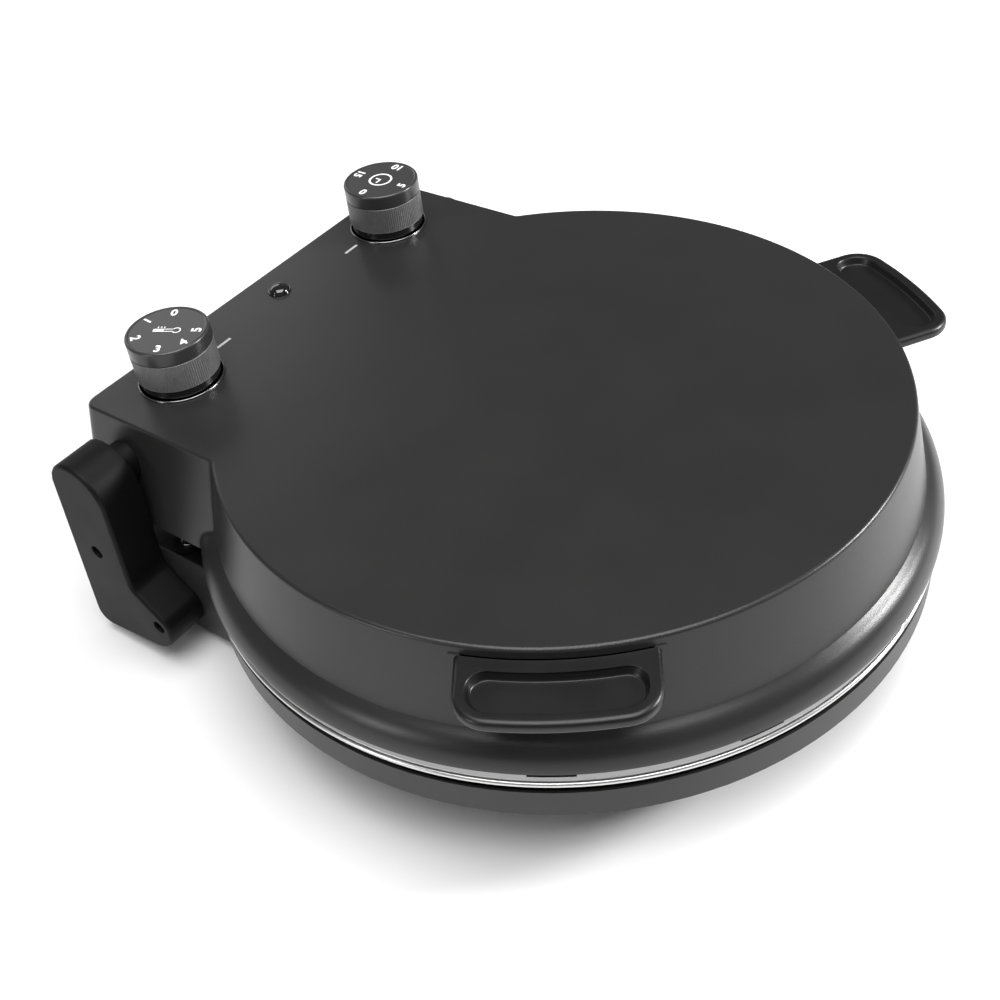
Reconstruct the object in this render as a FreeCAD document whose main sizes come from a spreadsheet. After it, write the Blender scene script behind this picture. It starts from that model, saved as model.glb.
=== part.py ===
"""Electric contact griddle: a round clamshell with a flush control box at the back of its lid.

Frame: +Z up, the table is z = 0, +Y points to the hinge and the knobs at the back, +X to the
right of a person who faces the lid's round front edge.  The origin is the middle of the footprint.
Every piece is drawn about the axis of the round plates and then moved along Y by disc_y.
"""
import FreeCAD, Part
import math
import os
import Sketcher

VECTOR = FreeCAD.Vector
# Which side of its outline's direction of travel an arc bulges to.
TO_LEFT, TO_RIGHT = 1, -1

# Every size that can be set by itself, in millimetres (angles in degrees).
SIZES = {
    # heights, from the table up
    "foot_height": 5.8,
    "floor_plate": 1.2,
    "base_depth": 50.0,
    "rim_rise": 7.0,
    "parting_gap": 1.3,
    "band_depth": 4.7,
    "lid_depth": 50.0,
    # the round lid
    "sheet": 1.2,
    "top_radius": 150.0,
    "wall_flare": 7.6,
    "bead_reach": 8.8,
    "bead_round": 14.0,
    "bead_height": 13.0,
    "edge_round": 2.2,
    # the control box at the back of the lid
    "box_half": 112.0,
    "box_flare": 10.0,
    "box_out": 16.2,
    "box_rear_flare": 4.4,
    "rear_bevel": 11.4,
    "box_corner": 6.0,
    "box_front": 60.0,
    "cover_thick": 2.0,
    # plates and what heats them
    "band_inset": 1.4,
    "band_wall": 1.6,
    "notch_width": 18.5,
    "notch_depth": 3.1,
    "plate_inset": 14.4,
    "plate_thick": 3.0,
    "upper_face_rise": 4.0,
    "lower_face_drop": 0.5,
    "flange_inset": 9.9,
    "roll_radius": 1.25,
    "roll_drop": 2.6,
    "element_circle": 96.0,
    "element_radius": 3.3,
    "element_sweep": 316.0,
    "terminal_rise": 20.0,
    "terminal_radius": 2.2,
    "clip_thick": 1.2,
    "stud_circle": 124.0,
    "stud_radius": 2.4,
    "shoulder_radius": 4.0,
    "shoulder_height": 8.4,
    "strap_thick": 1.5,
    "strap_width": 16.0,
    "strap_tab": 8.0,
    "reflector_inset": 26.4,
    "reflector_thick": 0.8,
    "wool_thick": 6.0,
    "nut_height": 4.0,
    "nut_radius": 4.6,
    # base
    "skirt_height": 14.0,
    "shoulder_in": 8.0,
    "base_taper": 28.4,
    "base_flange": 9.0,
    "hinge_gap": 1.0,
    "rear_panel_thick": 2.0,
    "foot_radius": 9.0,
    "foot_circle": 118.0,
    "foot_rear_x": 96.0,
    "foot_rear_inset": 22.0,
    # knobs
    "knob_x": 75.2,
    "knob_inset": 26.6,
    "knob_radius": 19.15,
    "knob_gap": 1.0,
    "knob_skirt": 4.0,
    "knob_skirt_inset": 0.7,
    "knob_grip": 13.6,
    "knob_band": 7.3,
    "shaft_radius": 3.0,
    "shaft_clearance": 0.05,
    "bezel_radius": 20.2,
    "bezel_width": 0.9,
    "bezel_height": 0.9,
    "lens_radius": 5.75,
    "lens_inset": 18.1,
    "lens_rise": 3.2,
    # handles
    "handle_angle": 56.2,
    "handle_half_width": 36.5,
    "handle_out": 29.7,
    "handle_drop": 3.8,
    "handle_thick": 5.0,
    "handle_corner": 14.0,
    "handle_rim": 6.5,
    "dish_depth": 3.2,
    "handle_foot_inset": 9.0,
    "handle_foot": 20.0,
    "mount_plate": 0.7,
    # hinges
    "hinge_inset": 24.6,
    "hinge_drop": 21.0,
    "pin_radius": 4.0,
    "pin_clearance": 0.05,
    "pin_inner_x": 104.0,
    "boss_radius": 10.0,
    "boss_gap": 0.7,
    "arm_thick": 3.0,
    "arm_round": 7.5,
    "shell_arch": 17.0,
    "shell_width": 21.5,
    "shell_wall": 2.0,
    "shell_round": 1.6,
    "slim_arch": 9.0,
    "slim_width": 6.6,
    "slim_wall": 1.4,
    "head_radius": 3.1,
    "gland_radius": 7.5,
    "gland_bore": 3.6,
    "gland_length": 12.0,
}


class Size:
    """A length that carries its value and the spreadsheet expression that gives it."""

    def __init__(self, value, text):
        self.value = value
        self.text = text

    def _join(self, other, sign, value, swap=False):
        text = other.text if isinstance(other, Size) else repr(other)
        first, second = (text, self.text) if swap else (self.text, text)
        return Size(value, f"({first} {sign} {second})")

    def __add__(self, other):
        return self._join(other, "+", self.value + number(other))

    def __sub__(self, other):
        return self._join(other, "-", self.value - number(other))

    def __mul__(self, other):
        return self._join(other, "*", self.value * number(other))

    def __truediv__(self, other):
        return self._join(other, "/", self.value / number(other))

    def __rsub__(self, other):
        return self._join(other, "-", number(other) - self.value, swap=True)

    def __neg__(self):
        return Size(-self.value, f"(0 - {self.text})")

    __radd__ = __add__
    __rmul__ = __mul__


def number(size):
    """The plain number behind a Size or a number."""
    return size.value if isinstance(size, Size) else size


def root(size):
    """Square root of a Size."""
    return Size(math.sqrt(size.value), f"sqrt({size.text})")


class Named:
    """Reads a size by its name, as in s.top_radius."""

    def __init__(self, values):
        for name, value in values.items():
            setattr(self, name, Size(value, f"Sizes.{name}"))


doc = FreeCAD.newDocument("ContactGriddle")
sheet = doc.addObject("Spreadsheet::Sheet", "Sizes")
for row, (alias, value) in enumerate(SIZES.items(), start=1):
    sheet.set(f"A{row}", alias)
    sheet.set(f"B{row}", str(value))
    sheet.setAlias(f"B{row}", alias)
doc.recompute()

s = Named(SIZES)
NODES = []

# Levels and radii that several pieces share, all worked out from the sheet.
floor = s.foot_height + s.floor_plate
skirt_top = floor + s.base_depth
rim_top = skirt_top + s.rim_rise
band_bottom = rim_top + s.parting_gap
lip_level = band_bottom + s.band_depth
lid_top = lip_level + s.lid_depth
cove_radius = s.top_radius + s.wall_flare
cove_level = lip_level + s.bead_height
lip_radius = cove_radius + s.bead_reach
band_radius = lip_radius - s.band_inset
box_reach = lip_radius + s.box_out
plate_radius = lip_radius - s.plate_inset
flange_inner = lip_radius - s.flange_inset
reflector_radius = lip_radius - s.reflector_inset
base_foot_radius = lip_radius - s.base_taper
handle_reach = s.top_radius + s.handle_out
box_foot_half = s.box_half + s.box_flare
box_foot_reach = box_reach + s.box_rear_flare
base_half = box_foot_half + s.hinge_gap
disc_y = (lip_radius - box_foot_reach) / 2
hinge_y = box_reach - s.hinge_inset
hinge_z = lid_top - s.hinge_drop
wall_slope = s.wall_flare / (lid_top - cove_level)


# ---------------------------------------------------------------- drawing helpers

def bind(thing, prop, size):
    """Ties a property to the sheet, or sets it where the size is a plain number."""
    if isinstance(size, Size):
        thing.setExpression(prop, size.text)
    else:
        thing.setExpression(prop, repr(float(size)))


def place(thing, x=0.0, y=0.0, z=0.0, turn=None):
    """Moves a thing to x, y, z after turning it; turn is an (axis, degrees) pair."""
    if turn:
        thing.Placement = FreeCAD.Placement(VECTOR(), FreeCAD.Rotation(VECTOR(*turn[0]), turn[1]))
    bind(thing, "Placement.Base.x", x)
    bind(thing, "Placement.Base.y", y)
    bind(thing, "Placement.Base.z", z)
    return thing


def new_sketch(body, plane, offset=0.0):
    """A sketch on one of the body's own origin planes, moved along the plane's normal."""
    sketch = body.newObject("Sketcher::SketchObject", body.Name + "Sketch")
    base = [feature for feature in body.Origin.OriginFeatures if feature.Role == plane][0]
    sketch.AttachmentSupport = [(base, "")]
    sketch.MapMode = "FlatFace"
    if number(offset):
        bind(sketch, "AttachmentOffset.Base.z", offset)
    return sketch


def constrain(sketch, kind, geometry, point, size):
    """Sets one coordinate of a point, on the axis itself where the coordinate is nought."""
    if abs(number(size)) < 1e-9:
        axis = -2 if kind == "DistanceX" else -1
        sketch.addConstraint(Sketcher.Constraint("PointOnObject", geometry, point, axis))
        return
    index = sketch.addConstraint(Sketcher.Constraint(kind, geometry, point, float(number(size))))
    bind(sketch, f"Constraints[{index}]", size)


def arc_through(start, end, radius, side):
    """The minor arc from start to end that bulges to the left (side 1) or right (side -1)."""
    chord = end - start
    half = chord.Length / 2
    normal = VECTOR(-chord.y, chord.x, 0).normalize()
    centre = (start + end) / 2 - normal * side * math.sqrt(max(radius * radius - half * half, 1e-12))
    first, last = (end, start) if side > 0 else (start, end)
    angles = [math.atan2(point.y - centre.y, point.x - centre.x) for point in (first, last)]
    if angles[1] < angles[0]:
        angles[1] += 2 * math.pi
    return Part.ArcOfCircle(Part.Circle(centre, VECTOR(0, 0, 1), radius), angles[0], angles[1])


def outline(sketch, corners):
    """Draws a closed outline; a corner is (x, y), or (x, y, radius, side) to leave it on an arc."""
    points = [VECTOR(number(corner[0]), number(corner[1]), 0) for corner in corners]
    ends = []
    for index, corner in enumerate(corners):
        start, end = points[index], points[(index + 1) % len(points)]
        if len(corner) == 2:
            geometry = sketch.addGeometry(Part.LineSegment(start, end))
            ends.append((geometry, 1, 2))
            continue
        radius, side = corner[2], corner[3]
        geometry = sketch.addGeometry(arc_through(start, end, number(radius), side))
        ends.append((geometry, 2, 1) if side > 0 else (geometry, 1, 2))
    for index, (geometry, _, last) in enumerate(ends):
        following, first, _ = ends[(index + 1) % len(ends)]
        sketch.addConstraint(Sketcher.Constraint("Coincident", geometry, last, following, first))
    for corner, (geometry, first, _) in zip(corners, ends):
        constrain(sketch, "DistanceX", geometry, first, corner[0])
        constrain(sketch, "DistanceY", geometry, first, corner[1])
    for corner, (geometry, _, _) in zip(corners, ends):
        if len(corner) == 4:
            index = sketch.addConstraint(Sketcher.Constraint("Radius", geometry, float(number(corner[2]))))
            bind(sketch, f"Constraints[{index}]", corner[2])


def revolved(name, corners, sweep=360.0):
    """A body turned about the Z axis from an (r, z) outline."""
    body = doc.addObject("PartDesign::Body", name)
    sketch = new_sketch(body, "XZ_Plane")
    outline(sketch, corners)
    turn = body.newObject("PartDesign::Revolution", name + "Turn")
    turn.Profile = sketch
    turn.ReferenceAxis = (sketch, ["V_Axis"])
    bind(turn, "Angle", sweep)
    doc.recompute()
    return body


def padded(name, corners, start, length, plane="XY_Plane"):
    """A body pushed up from a flat outline that lies at start along the plane's normal."""
    body = doc.addObject("PartDesign::Body", name)
    sketch = new_sketch(body, plane, start)
    outline(sketch, corners)
    pad = body.newObject("PartDesign::Pad", name + "Pad")
    pad.Profile = sketch
    bind(pad, "Length", length)
    doc.recompute()
    return body


def lofted(name, plane, first, first_level, second, second_level):
    """A body between two outlines on parallel planes."""
    body = doc.addObject("PartDesign::Body", name)
    profile = new_sketch(body, plane, first_level)
    outline(profile, first)
    section = new_sketch(body, plane, second_level)
    outline(section, second)
    loft = body.newObject("PartDesign::AdditiveLoft", name + "Loft")
    loft.Profile = profile
    loft.Sections = [section]
    loft.Ruled = True
    doc.recompute()
    return body


def round_edges(body, radius, wanted):
    """Rounds the edges of a body whose bounding box passes the test wanted."""
    tip = body.Tip
    names = [f"Edge{i}" for i, edge in enumerate(tip.Shape.Edges, start=1) if wanted(edge.BoundBox)]
    if not names:
        raise ValueError(f"{body.Name}: no edge to round")
    fillet = body.newObject("PartDesign::Fillet", body.Name + "Round")
    fillet.Base = (tip, names)
    bind(fillet, "Radius", radius)
    body.Tip = fillet
    doc.recompute()
    return body


def rounded(solid, radius, wanted):
    """A joined solid with the edges that pass the test wanted rounded."""
    fillet = doc.addObject("Part::Fillet", "Rounded")
    fillet.Base = solid
    edges = [i for i, edge in enumerate(solid.Shape.Edges, start=1) if wanted(edge.BoundBox)]
    fillet.Edges = [(i, number(radius), number(radius)) for i in edges]
    doc.recompute()
    return fillet


def cylinder(radius, height, x=0.0, y=0.0, z=0.0, along="z"):
    """A cylinder whose axis starts at x, y, z and runs along +X, +Y or +Z."""
    solid = doc.addObject("Part::Cylinder", "Cylinder")
    bind(solid, "Radius", radius)
    bind(solid, "Height", height)
    turn = {"x": ((0, 1, 0), 90), "y": ((1, 0, 0), -90), "z": None}[along]
    return place(solid, x, y, z, turn)


def block(x0, y0, z0, width, depth, height):
    """A box from its lowest corner."""
    solid = doc.addObject("Part::Box", "Block")
    bind(solid, "Length", width)
    bind(solid, "Width", depth)
    bind(solid, "Height", height)
    return place(solid, x0, y0, z0)


def fused(pieces):
    """One solid from pieces that overlap or meet."""
    solid = doc.addObject("Part::MultiFuse", "Joined")
    solid.Shapes = pieces
    solid.Refine = True
    doc.recompute()
    return solid


def group(pieces):
    """Several solids kept apart in one object."""
    compound = doc.addObject("Part::Compound", "Group")
    compound.Links = pieces
    doc.recompute()
    return compound


def cut(base, tools):
    """The base less all of its tools."""
    solid = doc.addObject("Part::Cut", "Cut")
    solid.Base = base
    solid.Tool = tools[0] if len(tools) == 1 else group(tools)
    solid.Refine = True
    doc.recompute()
    return solid


def common(first, second):
    """What two solids share."""
    solid = doc.addObject("Part::Common", "Shared")
    solid.Base = first
    solid.Tool = second
    doc.recompute()
    return solid


def turned(thing, degrees):
    """The same thing turned about the Z axis, as a compound with its own placement."""
    copy = group([thing])
    copy.Placement = FreeCAD.Placement(VECTOR(), FreeCAD.Rotation(VECTOR(0, 0, 1), degrees))
    return copy


def mirrored(thing):
    """The mirror image of a thing across the YZ plane."""
    copy = doc.addObject("Part::Mirroring", "Mirror")
    copy.Source = thing
    copy.Base = VECTOR(0, 0, 0)
    copy.Normal = VECTOR(1, 0, 0)
    doc.recompute()
    return copy


def node(label, thing):
    """Names a finished piece, moves it from the plates' axis to the model's origin and keeps it."""
    holder = group([thing])
    holder.Label = label
    bind(holder, "Placement.Base.y", disc_y)
    NODES.append(holder)


def on_circle(radius, degrees):
    """The x and y of a point on a circle about the plates' axis."""
    turn = math.radians(degrees)
    return radius * round(math.cos(turn), 6), radius * round(math.sin(turn), 6)


def screw(x, y, z, along, head, shank_length, facing=1, shank=1.5, head_height=2.0):
    """A pan-head screw: x, y, z is under the head, facing is the way its head points."""
    parts = []
    for radius, length, towards in ((head, head_height, facing), (shank, shank_length, -facing)):
        start = {"x": x, "y": y, "z": z}
        if towards < 0:
            start[along] = start[along] - length
        parts.append(cylinder(radius, length, start["x"], start["y"], start["z"], along))
    return fused(parts)


# ---------------------------------------------------------------- the lid's pressed shell

def disc_outline(inset):
    """The round lid's (r, z) outline, moved in by the sheet's thickness where inset is given."""
    return [
        (0.0, lid_top - inset),
        (s.top_radius - inset, lid_top - inset),
        (cove_radius - inset, cove_level - inset * 0.7, s.bead_round - inset, TO_LEFT),
        (lip_radius - inset, lip_level),
        (0.0, lip_level),
    ]


def box_outline(half, front, reach, corner):
    """A rectangle with its two rear corners rounded."""
    return [
        (-half, front),
        (half, front),
        (half, reach - corner, corner, TO_RIGHT),
        (half - corner, reach),
        (-half + corner, reach, corner, TO_RIGHT),
        (-half, reach - corner),
    ]


def box_solid(name, inset, top):
    """The control box's drafted block, between its outline at the top and at the lip."""
    corner = s.box_corner - inset
    return lofted(
        name,
        "XY_Plane",
        box_outline(s.box_half - inset, s.box_front, box_reach - inset, corner),
        top,
        box_outline(box_foot_half - inset, s.box_front, box_foot_reach - inset, corner),
        lip_level,
    )


def flat_circle(level):
    """A test for the round edge that lies flat at a level."""
    return lambda box: abs(box.ZMin - number(level)) < 0.01 and abs(box.ZMax - number(level)) < 0.01


def bevel_wedge(name, inset):
    """What is cut from the box's low rear edge, so that it swings clear of the lower plate."""
    start = box_foot_reach - s.rear_bevel - inset * math.sqrt(2)
    clear = 2.0
    far = box_foot_reach + clear
    corners = [
        (start - clear, lip_level - clear),
        (far, lip_level - clear),
        (far, lip_level + far - start),
    ]
    return padded(name, corners, -box_foot_half - clear, box_foot_half * 2 + clear * 2, "YZ_Plane")


lid_disc = revolved("LidDisc", disc_outline(0.0))
lid_box = cut(box_solid("LidBox", 0.0, lid_top), [bevel_wedge("LidBevel", 0.0)])
box_hollow = cut(
    box_solid("LidBoxHollow", s.sheet, lid_top - s.sheet), [bevel_wedge("LidBevelHollow", s.sheet)]
)
disc_hollow = revolved("LidDiscHollow", disc_outline(s.sheet))

knob_y = box_reach - s.knob_inset
lens_y = box_reach - s.lens_inset
panel_under = lid_top - s.sheet
pin_bore = s.pin_radius + s.pin_clearance
shaft_bore = s.shaft_radius + s.shaft_clearance


# ---------------------------------------------------------------- handles

def wall_at(level):
    """Radius of the lid's drafted wall at a level."""
    return s.top_radius + (lid_top - level) * wall_slope


handle_top = lid_top - s.handle_drop
foot_low = handle_top - s.handle_foot + 2.0
screw_level = (foot_low + handle_top - s.handle_thick) / 2 + 1.0


def tab_outline(half, reach, corner, inner):
    """A tongue that points to -Y, ended by an arc about the plates' axis."""
    shoulder = root(reach * reach - (half - corner) * (half - corner))
    return [
        (-half, -inner),
        (-half, corner - shoulder, corner, TO_RIGHT),
        (corner - half, -shoulder, reach, TO_RIGHT),
        (half - corner, -shoulder, corner, TO_RIGHT),
        (half, corner - shoulder),
        (half, -inner),
    ]


def handle_screw_group():
    """Two screws that hold a handle from inside the lid's wall."""
    seat = 2.2 - root(wall_at(screw_level) * wall_at(screw_level) - 400.0)
    return group([screw(x, seat, screw_level, "y", 3.0, 8.0) for x in (-20.0, 20.0)])


def handle_parts():
    """The tongue and the plate behind it, pointing to -Y."""
    tongue = padded(
        "Tongue",
        tab_outline(s.handle_half_width, handle_reach, s.handle_corner, s.top_radius - 10.0),
        handle_top - s.handle_thick,
        s.handle_thick,
    )
    outer = number(s.top_radius) - 5
    round_edges(tongue, 2.2, lambda box: flat_circle(handle_top)(box) and box.YMin < -outer)
    round_edges(
        tongue,
        2.0,
        lambda box: flat_circle(handle_top - s.handle_thick)(box) and box.YMin < -outer,
    )
    rim = s.handle_rim
    dish = padded(
        "Dish",
        tab_outline(
            s.handle_half_width - rim,
            handle_reach - rim,
            s.handle_corner - rim,
            s.top_radius + s.mount_plate + rim,
        ),
        handle_top - s.dish_depth,
        s.dish_depth + 2.0,
    )
    round_edges(dish, 2.5, flat_circle(handle_top - s.dish_depth))
    foot_half = s.handle_half_width - s.handle_foot_inset
    foot_reach = s.top_radius + 8.0
    foot_side = root(foot_reach * foot_reach - foot_half * foot_half)
    foot = padded(
        "HandleFoot",
        [
            (-foot_half, 10.0 - s.top_radius),
            (-foot_half, -foot_side, foot_reach, TO_RIGHT),
            (foot_half, -foot_side),
            (foot_half, 10.0 - s.top_radius),
        ],
        foot_low,
        handle_top - s.handle_thick - foot_low + 1.0,
    )
    low, high = foot_low - 6.0, lid_top - 1.0
    wall = revolved(
        "HandleWall",
        [
            (0.0, low),
            (wall_at(low) + s.mount_plate, low),
            (wall_at(high) + s.mount_plate, high),
            (0.0, high),
        ],
    )
    screws = handle_screw_group()
    handle = cut(fused([tongue, foot]), [wall, dish, screws])
    ring = revolved(
        "HandlePlateRing",
        [
            (wall_at(foot_low), foot_low),
            (wall_at(foot_low) + s.mount_plate, foot_low),
            (wall_at(handle_top) + s.mount_plate, handle_top),
            (wall_at(handle_top), handle_top),
        ],
    )
    spread = s.handle_half_width + 3.0
    sector = padded(
        "HandlePlateSector",
        [(0.0, 0.0), (-spread * 2, s.top_radius * -2), (spread * 2, s.top_radius * -2)],
        foot_low - 1.0,
        s.handle_foot + 4.0,
    )
    return handle, cut(common(ring, sector), [screws]), screws


handle, handle_plate, handle_fixings = handle_parts()
handle_turns = {"left": -s.handle_angle.value, "right": s.handle_angle.value}
for side, angle in handle_turns.items():
    for label, thing in ((f"{side}_handle", handle), (f"{side}_handle_plate", handle_plate)):
        turned_thing = turned(thing, angle)
        turn = f"{'-' if side == 'left' else ''}Sizes.handle_angle"
        turned_thing.setExpression("Placement.Rotation.Angle", turn)
        node(label, turned_thing)
both_fixings = [turned(handle_fixings, angle) for angle in handle_turns.values()]
node("handle_screws", group(both_fixings))


# ---------------------------------------------------------------- knobs, lens and what they turn

def knob_set(name, x):
    """A knob, its bright cap, its shaft and the ring on the panel, about x, knob_y."""
    low = lid_top + s.knob_gap
    skirt_top_z = low + s.knob_skirt
    grip_top = skirt_top_z + s.knob_grip
    skirt = s.knob_radius - s.knob_skirt_inset
    knob = revolved(
        name + "Knob",
        [
            (0.0, low),
            (skirt, low),
            (skirt, skirt_top_z),
            (s.knob_radius, skirt_top_z),
            (s.knob_radius, grip_top),
            (0.0, grip_top),
        ],
    )
    cap = revolved(
        name + "Cap",
        [(0.0, grip_top), (s.knob_radius, grip_top), (s.knob_radius, grip_top + s.knob_band),
         (0.0, grip_top + s.knob_band)],
    )
    round_edges(cap, 0.8, flat_circle(grip_top + s.knob_band))
    place(knob, x, knob_y)
    place(cap, x, knob_y)
    shaft_low = panel_under - 12.0
    shaft = cylinder(s.shaft_radius, grip_top - 3.0 - shaft_low, x, knob_y, shaft_low)
    bezel = cut(
        cylinder(s.bezel_radius, s.bezel_height, x, knob_y, lid_top),
        [cylinder(s.bezel_radius - s.bezel_width, s.bezel_height, x, knob_y, lid_top)],
    )
    node(f"{name}_knob", cut(knob, [shaft]))
    node(f"{name}_knob_cap", cap)
    node(f"{name}_shaft", shaft)
    node(f"{name}_bezel", bezel)
    return cylinder(shaft_bore, 14.0, x, knob_y, shaft_low), cylinder(
        s.shaft_radius + 1.5, 6.0, x, knob_y, panel_under - 3.0
    )


thermostat_bore, thermostat_hole = knob_set("thermostat", -s.knob_x)
timer_bore, timer_hole = knob_set("timer", s.knob_x)
thermostat_case = block(-14.0 - s.knob_x, knob_y - 15.0, panel_under - 20.0, 28.0, 30.0, 20.0)
node("thermostat_body", cut(thermostat_case, [thermostat_bore]))
timer_case = cylinder(21.0, 24.0, s.knob_x, knob_y, panel_under - 24.0)
node("timer_body", cut(timer_case, [timer_bore]))

stem = s.lens_radius - 1.4
lens = revolved(
    "Lens",
    [
        (0.0, lid_top + s.lens_rise),
        (stem - 0.5, lid_top + s.lens_rise - 0.4, s.lens_rise, TO_LEFT),
        (s.lens_radius, lid_top),
        (stem, lid_top),
        (stem, lid_top - 3.0),
        (0.0, lid_top - 3.0),
    ],
)
place(lens, 0.0, lens_y)
node("indicator_lens", lens)
node("indicator_lamp", cylinder(3.5, 18.0, 0.0, lens_y, lid_top - 21.0))


# ---------------------------------------------------------------- hinge line

boss_end = base_half - s.boss_gap
box_side_level = s.box_half - 8.0
pin_way = cylinder(pin_bore, boss_end - s.pin_inner_x + 10.0, s.pin_inner_x - 5.0, hinge_y, hinge_z, "x")
plate_rod = cylinder(
    s.boss_radius - 1.0, boss_end - s.pin_inner_x, s.pin_inner_x + 3.5, hinge_y, hinge_z, "x"
)
right_plate = cut(common(plate_rod, box_hollow), [pin_way])
head_x = base_half + s.arm_thick
pin = fused([
    cylinder(s.pin_radius, head_x - s.pin_inner_x, s.pin_inner_x, hinge_y, hinge_z, "x"),
    cylinder(s.pin_radius + 2.2, 2.0, head_x, hinge_y, hinge_z, "x"),
])
clip = cut(
    cylinder(s.pin_radius + 2.5, 0.8, s.pin_inner_x + 1.5, hinge_y, hinge_z, "x"),
    [cylinder(s.pin_radius, 0.8, s.pin_inner_x + 1.5, hinge_y, hinge_z, "x")],
)
boss_rod = cylinder(s.boss_radius, boss_end - box_side_level, box_side_level, hinge_y, hinge_z, "x")
right_boss = cut(boss_rod, [lid_box, pin_way])
node("right_hinge_boss", right_boss)
node("left_hinge_boss", mirrored(right_boss))
node("right_hinge_plate", right_plate)
node("left_hinge_plate", mirrored(right_plate))
node("hinge_pins", group([pin, mirrored(pin)]))
node("hinge_clips", group([clip, mirrored(clip)]))

box_wall_top = skirt_top - 1.0
arm_low = floor + 15.0
arm_screw_levels = (floor + 23.0, floor + 38.0)
arm_fixings = [
    screw(head_x, hinge_y, level, "x", 3.4, 6.0) for level in arm_screw_levels
]
arm_blank = padded(
    "Arm",
    [
        (hinge_y - s.arm_round + 1.0, arm_low),
        (hinge_y + s.arm_round - 1.0, arm_low),
        (hinge_y + s.arm_round, hinge_z, s.arm_round, TO_RIGHT),
        (hinge_y - s.arm_round, hinge_z),
    ],
    base_half,
    s.arm_thick,
    "YZ_Plane",
)
cover_start = base_half + 0.2


def cover_fixings(seat, spots, head_height):
    """The arm's two screws and the cover's two, of which the first ends in the arm."""
    ends = (base_half + 0.4, base_half - 3.0)
    return group(arm_fixings + [
        screw(seat, y, z, "x", s.head_radius, seat - end, head_height=head_height)
        for (y, z), end in zip(spots, ends)
    ])


def inset_outline(corners, inset):
    """A hinge cover's (y, z) outline, moved in by inset.

    Each corner is (y from the hinge, z, the outline's heading there in degrees, radius, side), so
    that a smaller outline keeps an even distance inside the full one.
    """
    drawn = []
    for y, z, heading, radius, side in corners:
        turn = math.radians(heading)
        point = (
            hinge_y + y - inset * round(math.sin(turn), 4),
            z + inset * round(math.cos(turn), 4),
        )
        if radius is not None:
            point += (radius + inset * side, side)
        drawn.append(point)
    return drawn


def hinge_cover(name, corners, width, wall, seat, spots, fixings):
    """A moulded cover over the right hinge, open on its inner side, with two sunk screws."""
    outer = cover_start + width
    shoulder = outer - s.shell_round
    body = fused([
        padded(name, inset_outline(corners, 0.0), cover_start, width - s.shell_round, "YZ_Plane"),
        lofted(name + "Edge", "YZ_Plane", inset_outline(corners, 0.0), shoulder,
               inset_outline(corners, s.shell_round), outer),
    ])
    hollow = padded(name + "Hollow", inset_outline(corners, wall), cover_start, width - wall, "YZ_Plane")
    boss_start = head_x + 0.5
    bosses = [cylinder(5.0, shoulder - boss_start + 0.4, boss_start, y, z, "x") for y, z in spots]
    wells = [cylinder(s.head_radius + 0.2, 20.0, seat, y, z, "x") for y, z in spots]
    return cut(fused([cut(body, [hollow])] + bosses), wells + [fixings])


# The left cover is deep: an arch over the pin, a waist, a toe at the front and a foot.
shell_corners = [
    (-s.shell_arch, hinge_z, -90.0, None, None),
    (-12.6, floor + 43.5, -85.0, 7.0, TO_LEFT),
    (-15.1, floor + 37.5, -140.0, None, None),
    (-27.6, floor + 27.0, -140.0, 8.0, TO_RIGHT),
    (-30.5, floor + 20.9, -90.0, 18.0, TO_RIGHT),
    (-16.5, floor + 2.8, -10.0, None, None),
    (18.0, floor - 1.0, -5.7, 8.0, TO_RIGHT),
    (26.8, floor + 7.8, 96.5, None, None),
    (s.shell_arch, hinge_z, 90.0, s.shell_arch, TO_RIGHT),
]
shell_spots = ((hinge_y + 3.6, skirt_top + 6.6), (hinge_y - 23.5, floor + 20.5))
shell_seat = base_half + 17.5
shell_fixings = cover_fixings(shell_seat, shell_spots, 2.4)

# The right cover is slim and plain.
slim_foot = 6.0
slim_corners = [
    (-s.slim_arch, hinge_z, -90.0, None, None),
    (-s.slim_arch, floor - 1.0 + slim_foot, -90.0, slim_foot, TO_RIGHT),
    (slim_foot - s.slim_arch, floor - 1.0, 0.0, None, None),
    (s.slim_arch - slim_foot, floor - 1.0, 0.0, slim_foot, TO_RIGHT),
    (s.slim_arch, floor - 1.0 + slim_foot, 90.0, None, None),
    (s.slim_arch, hinge_z, 90.0, s.slim_arch, TO_RIGHT),
]
slim_spots = ((hinge_y, skirt_top + 6.6), (hinge_y, floor + 7.0))
slim_seat = cover_start + s.slim_width - 1.6
slim_fixings = cover_fixings(slim_seat, slim_spots, 1.4)
left_fixings = mirrored(shell_fixings)

node("right_hinge_arm", cut(arm_blank, [pin, slim_fixings]))
node("left_hinge_arm", mirrored(cut(arm_blank, [pin, shell_fixings])))
node("hinge_screws", group([slim_fixings, left_fixings]))
node("left_hinge_cover", mirrored(hinge_cover(
    "DeepCover", shell_corners, s.shell_width, s.shell_wall, shell_seat, shell_spots, shell_fixings
)))
node("right_hinge_cover", hinge_cover(
    "SlimCover", slim_corners, s.slim_width, s.slim_wall, slim_seat, slim_spots, slim_fixings
))


# ---------------------------------------------------------------- the lid's rear floor

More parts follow.
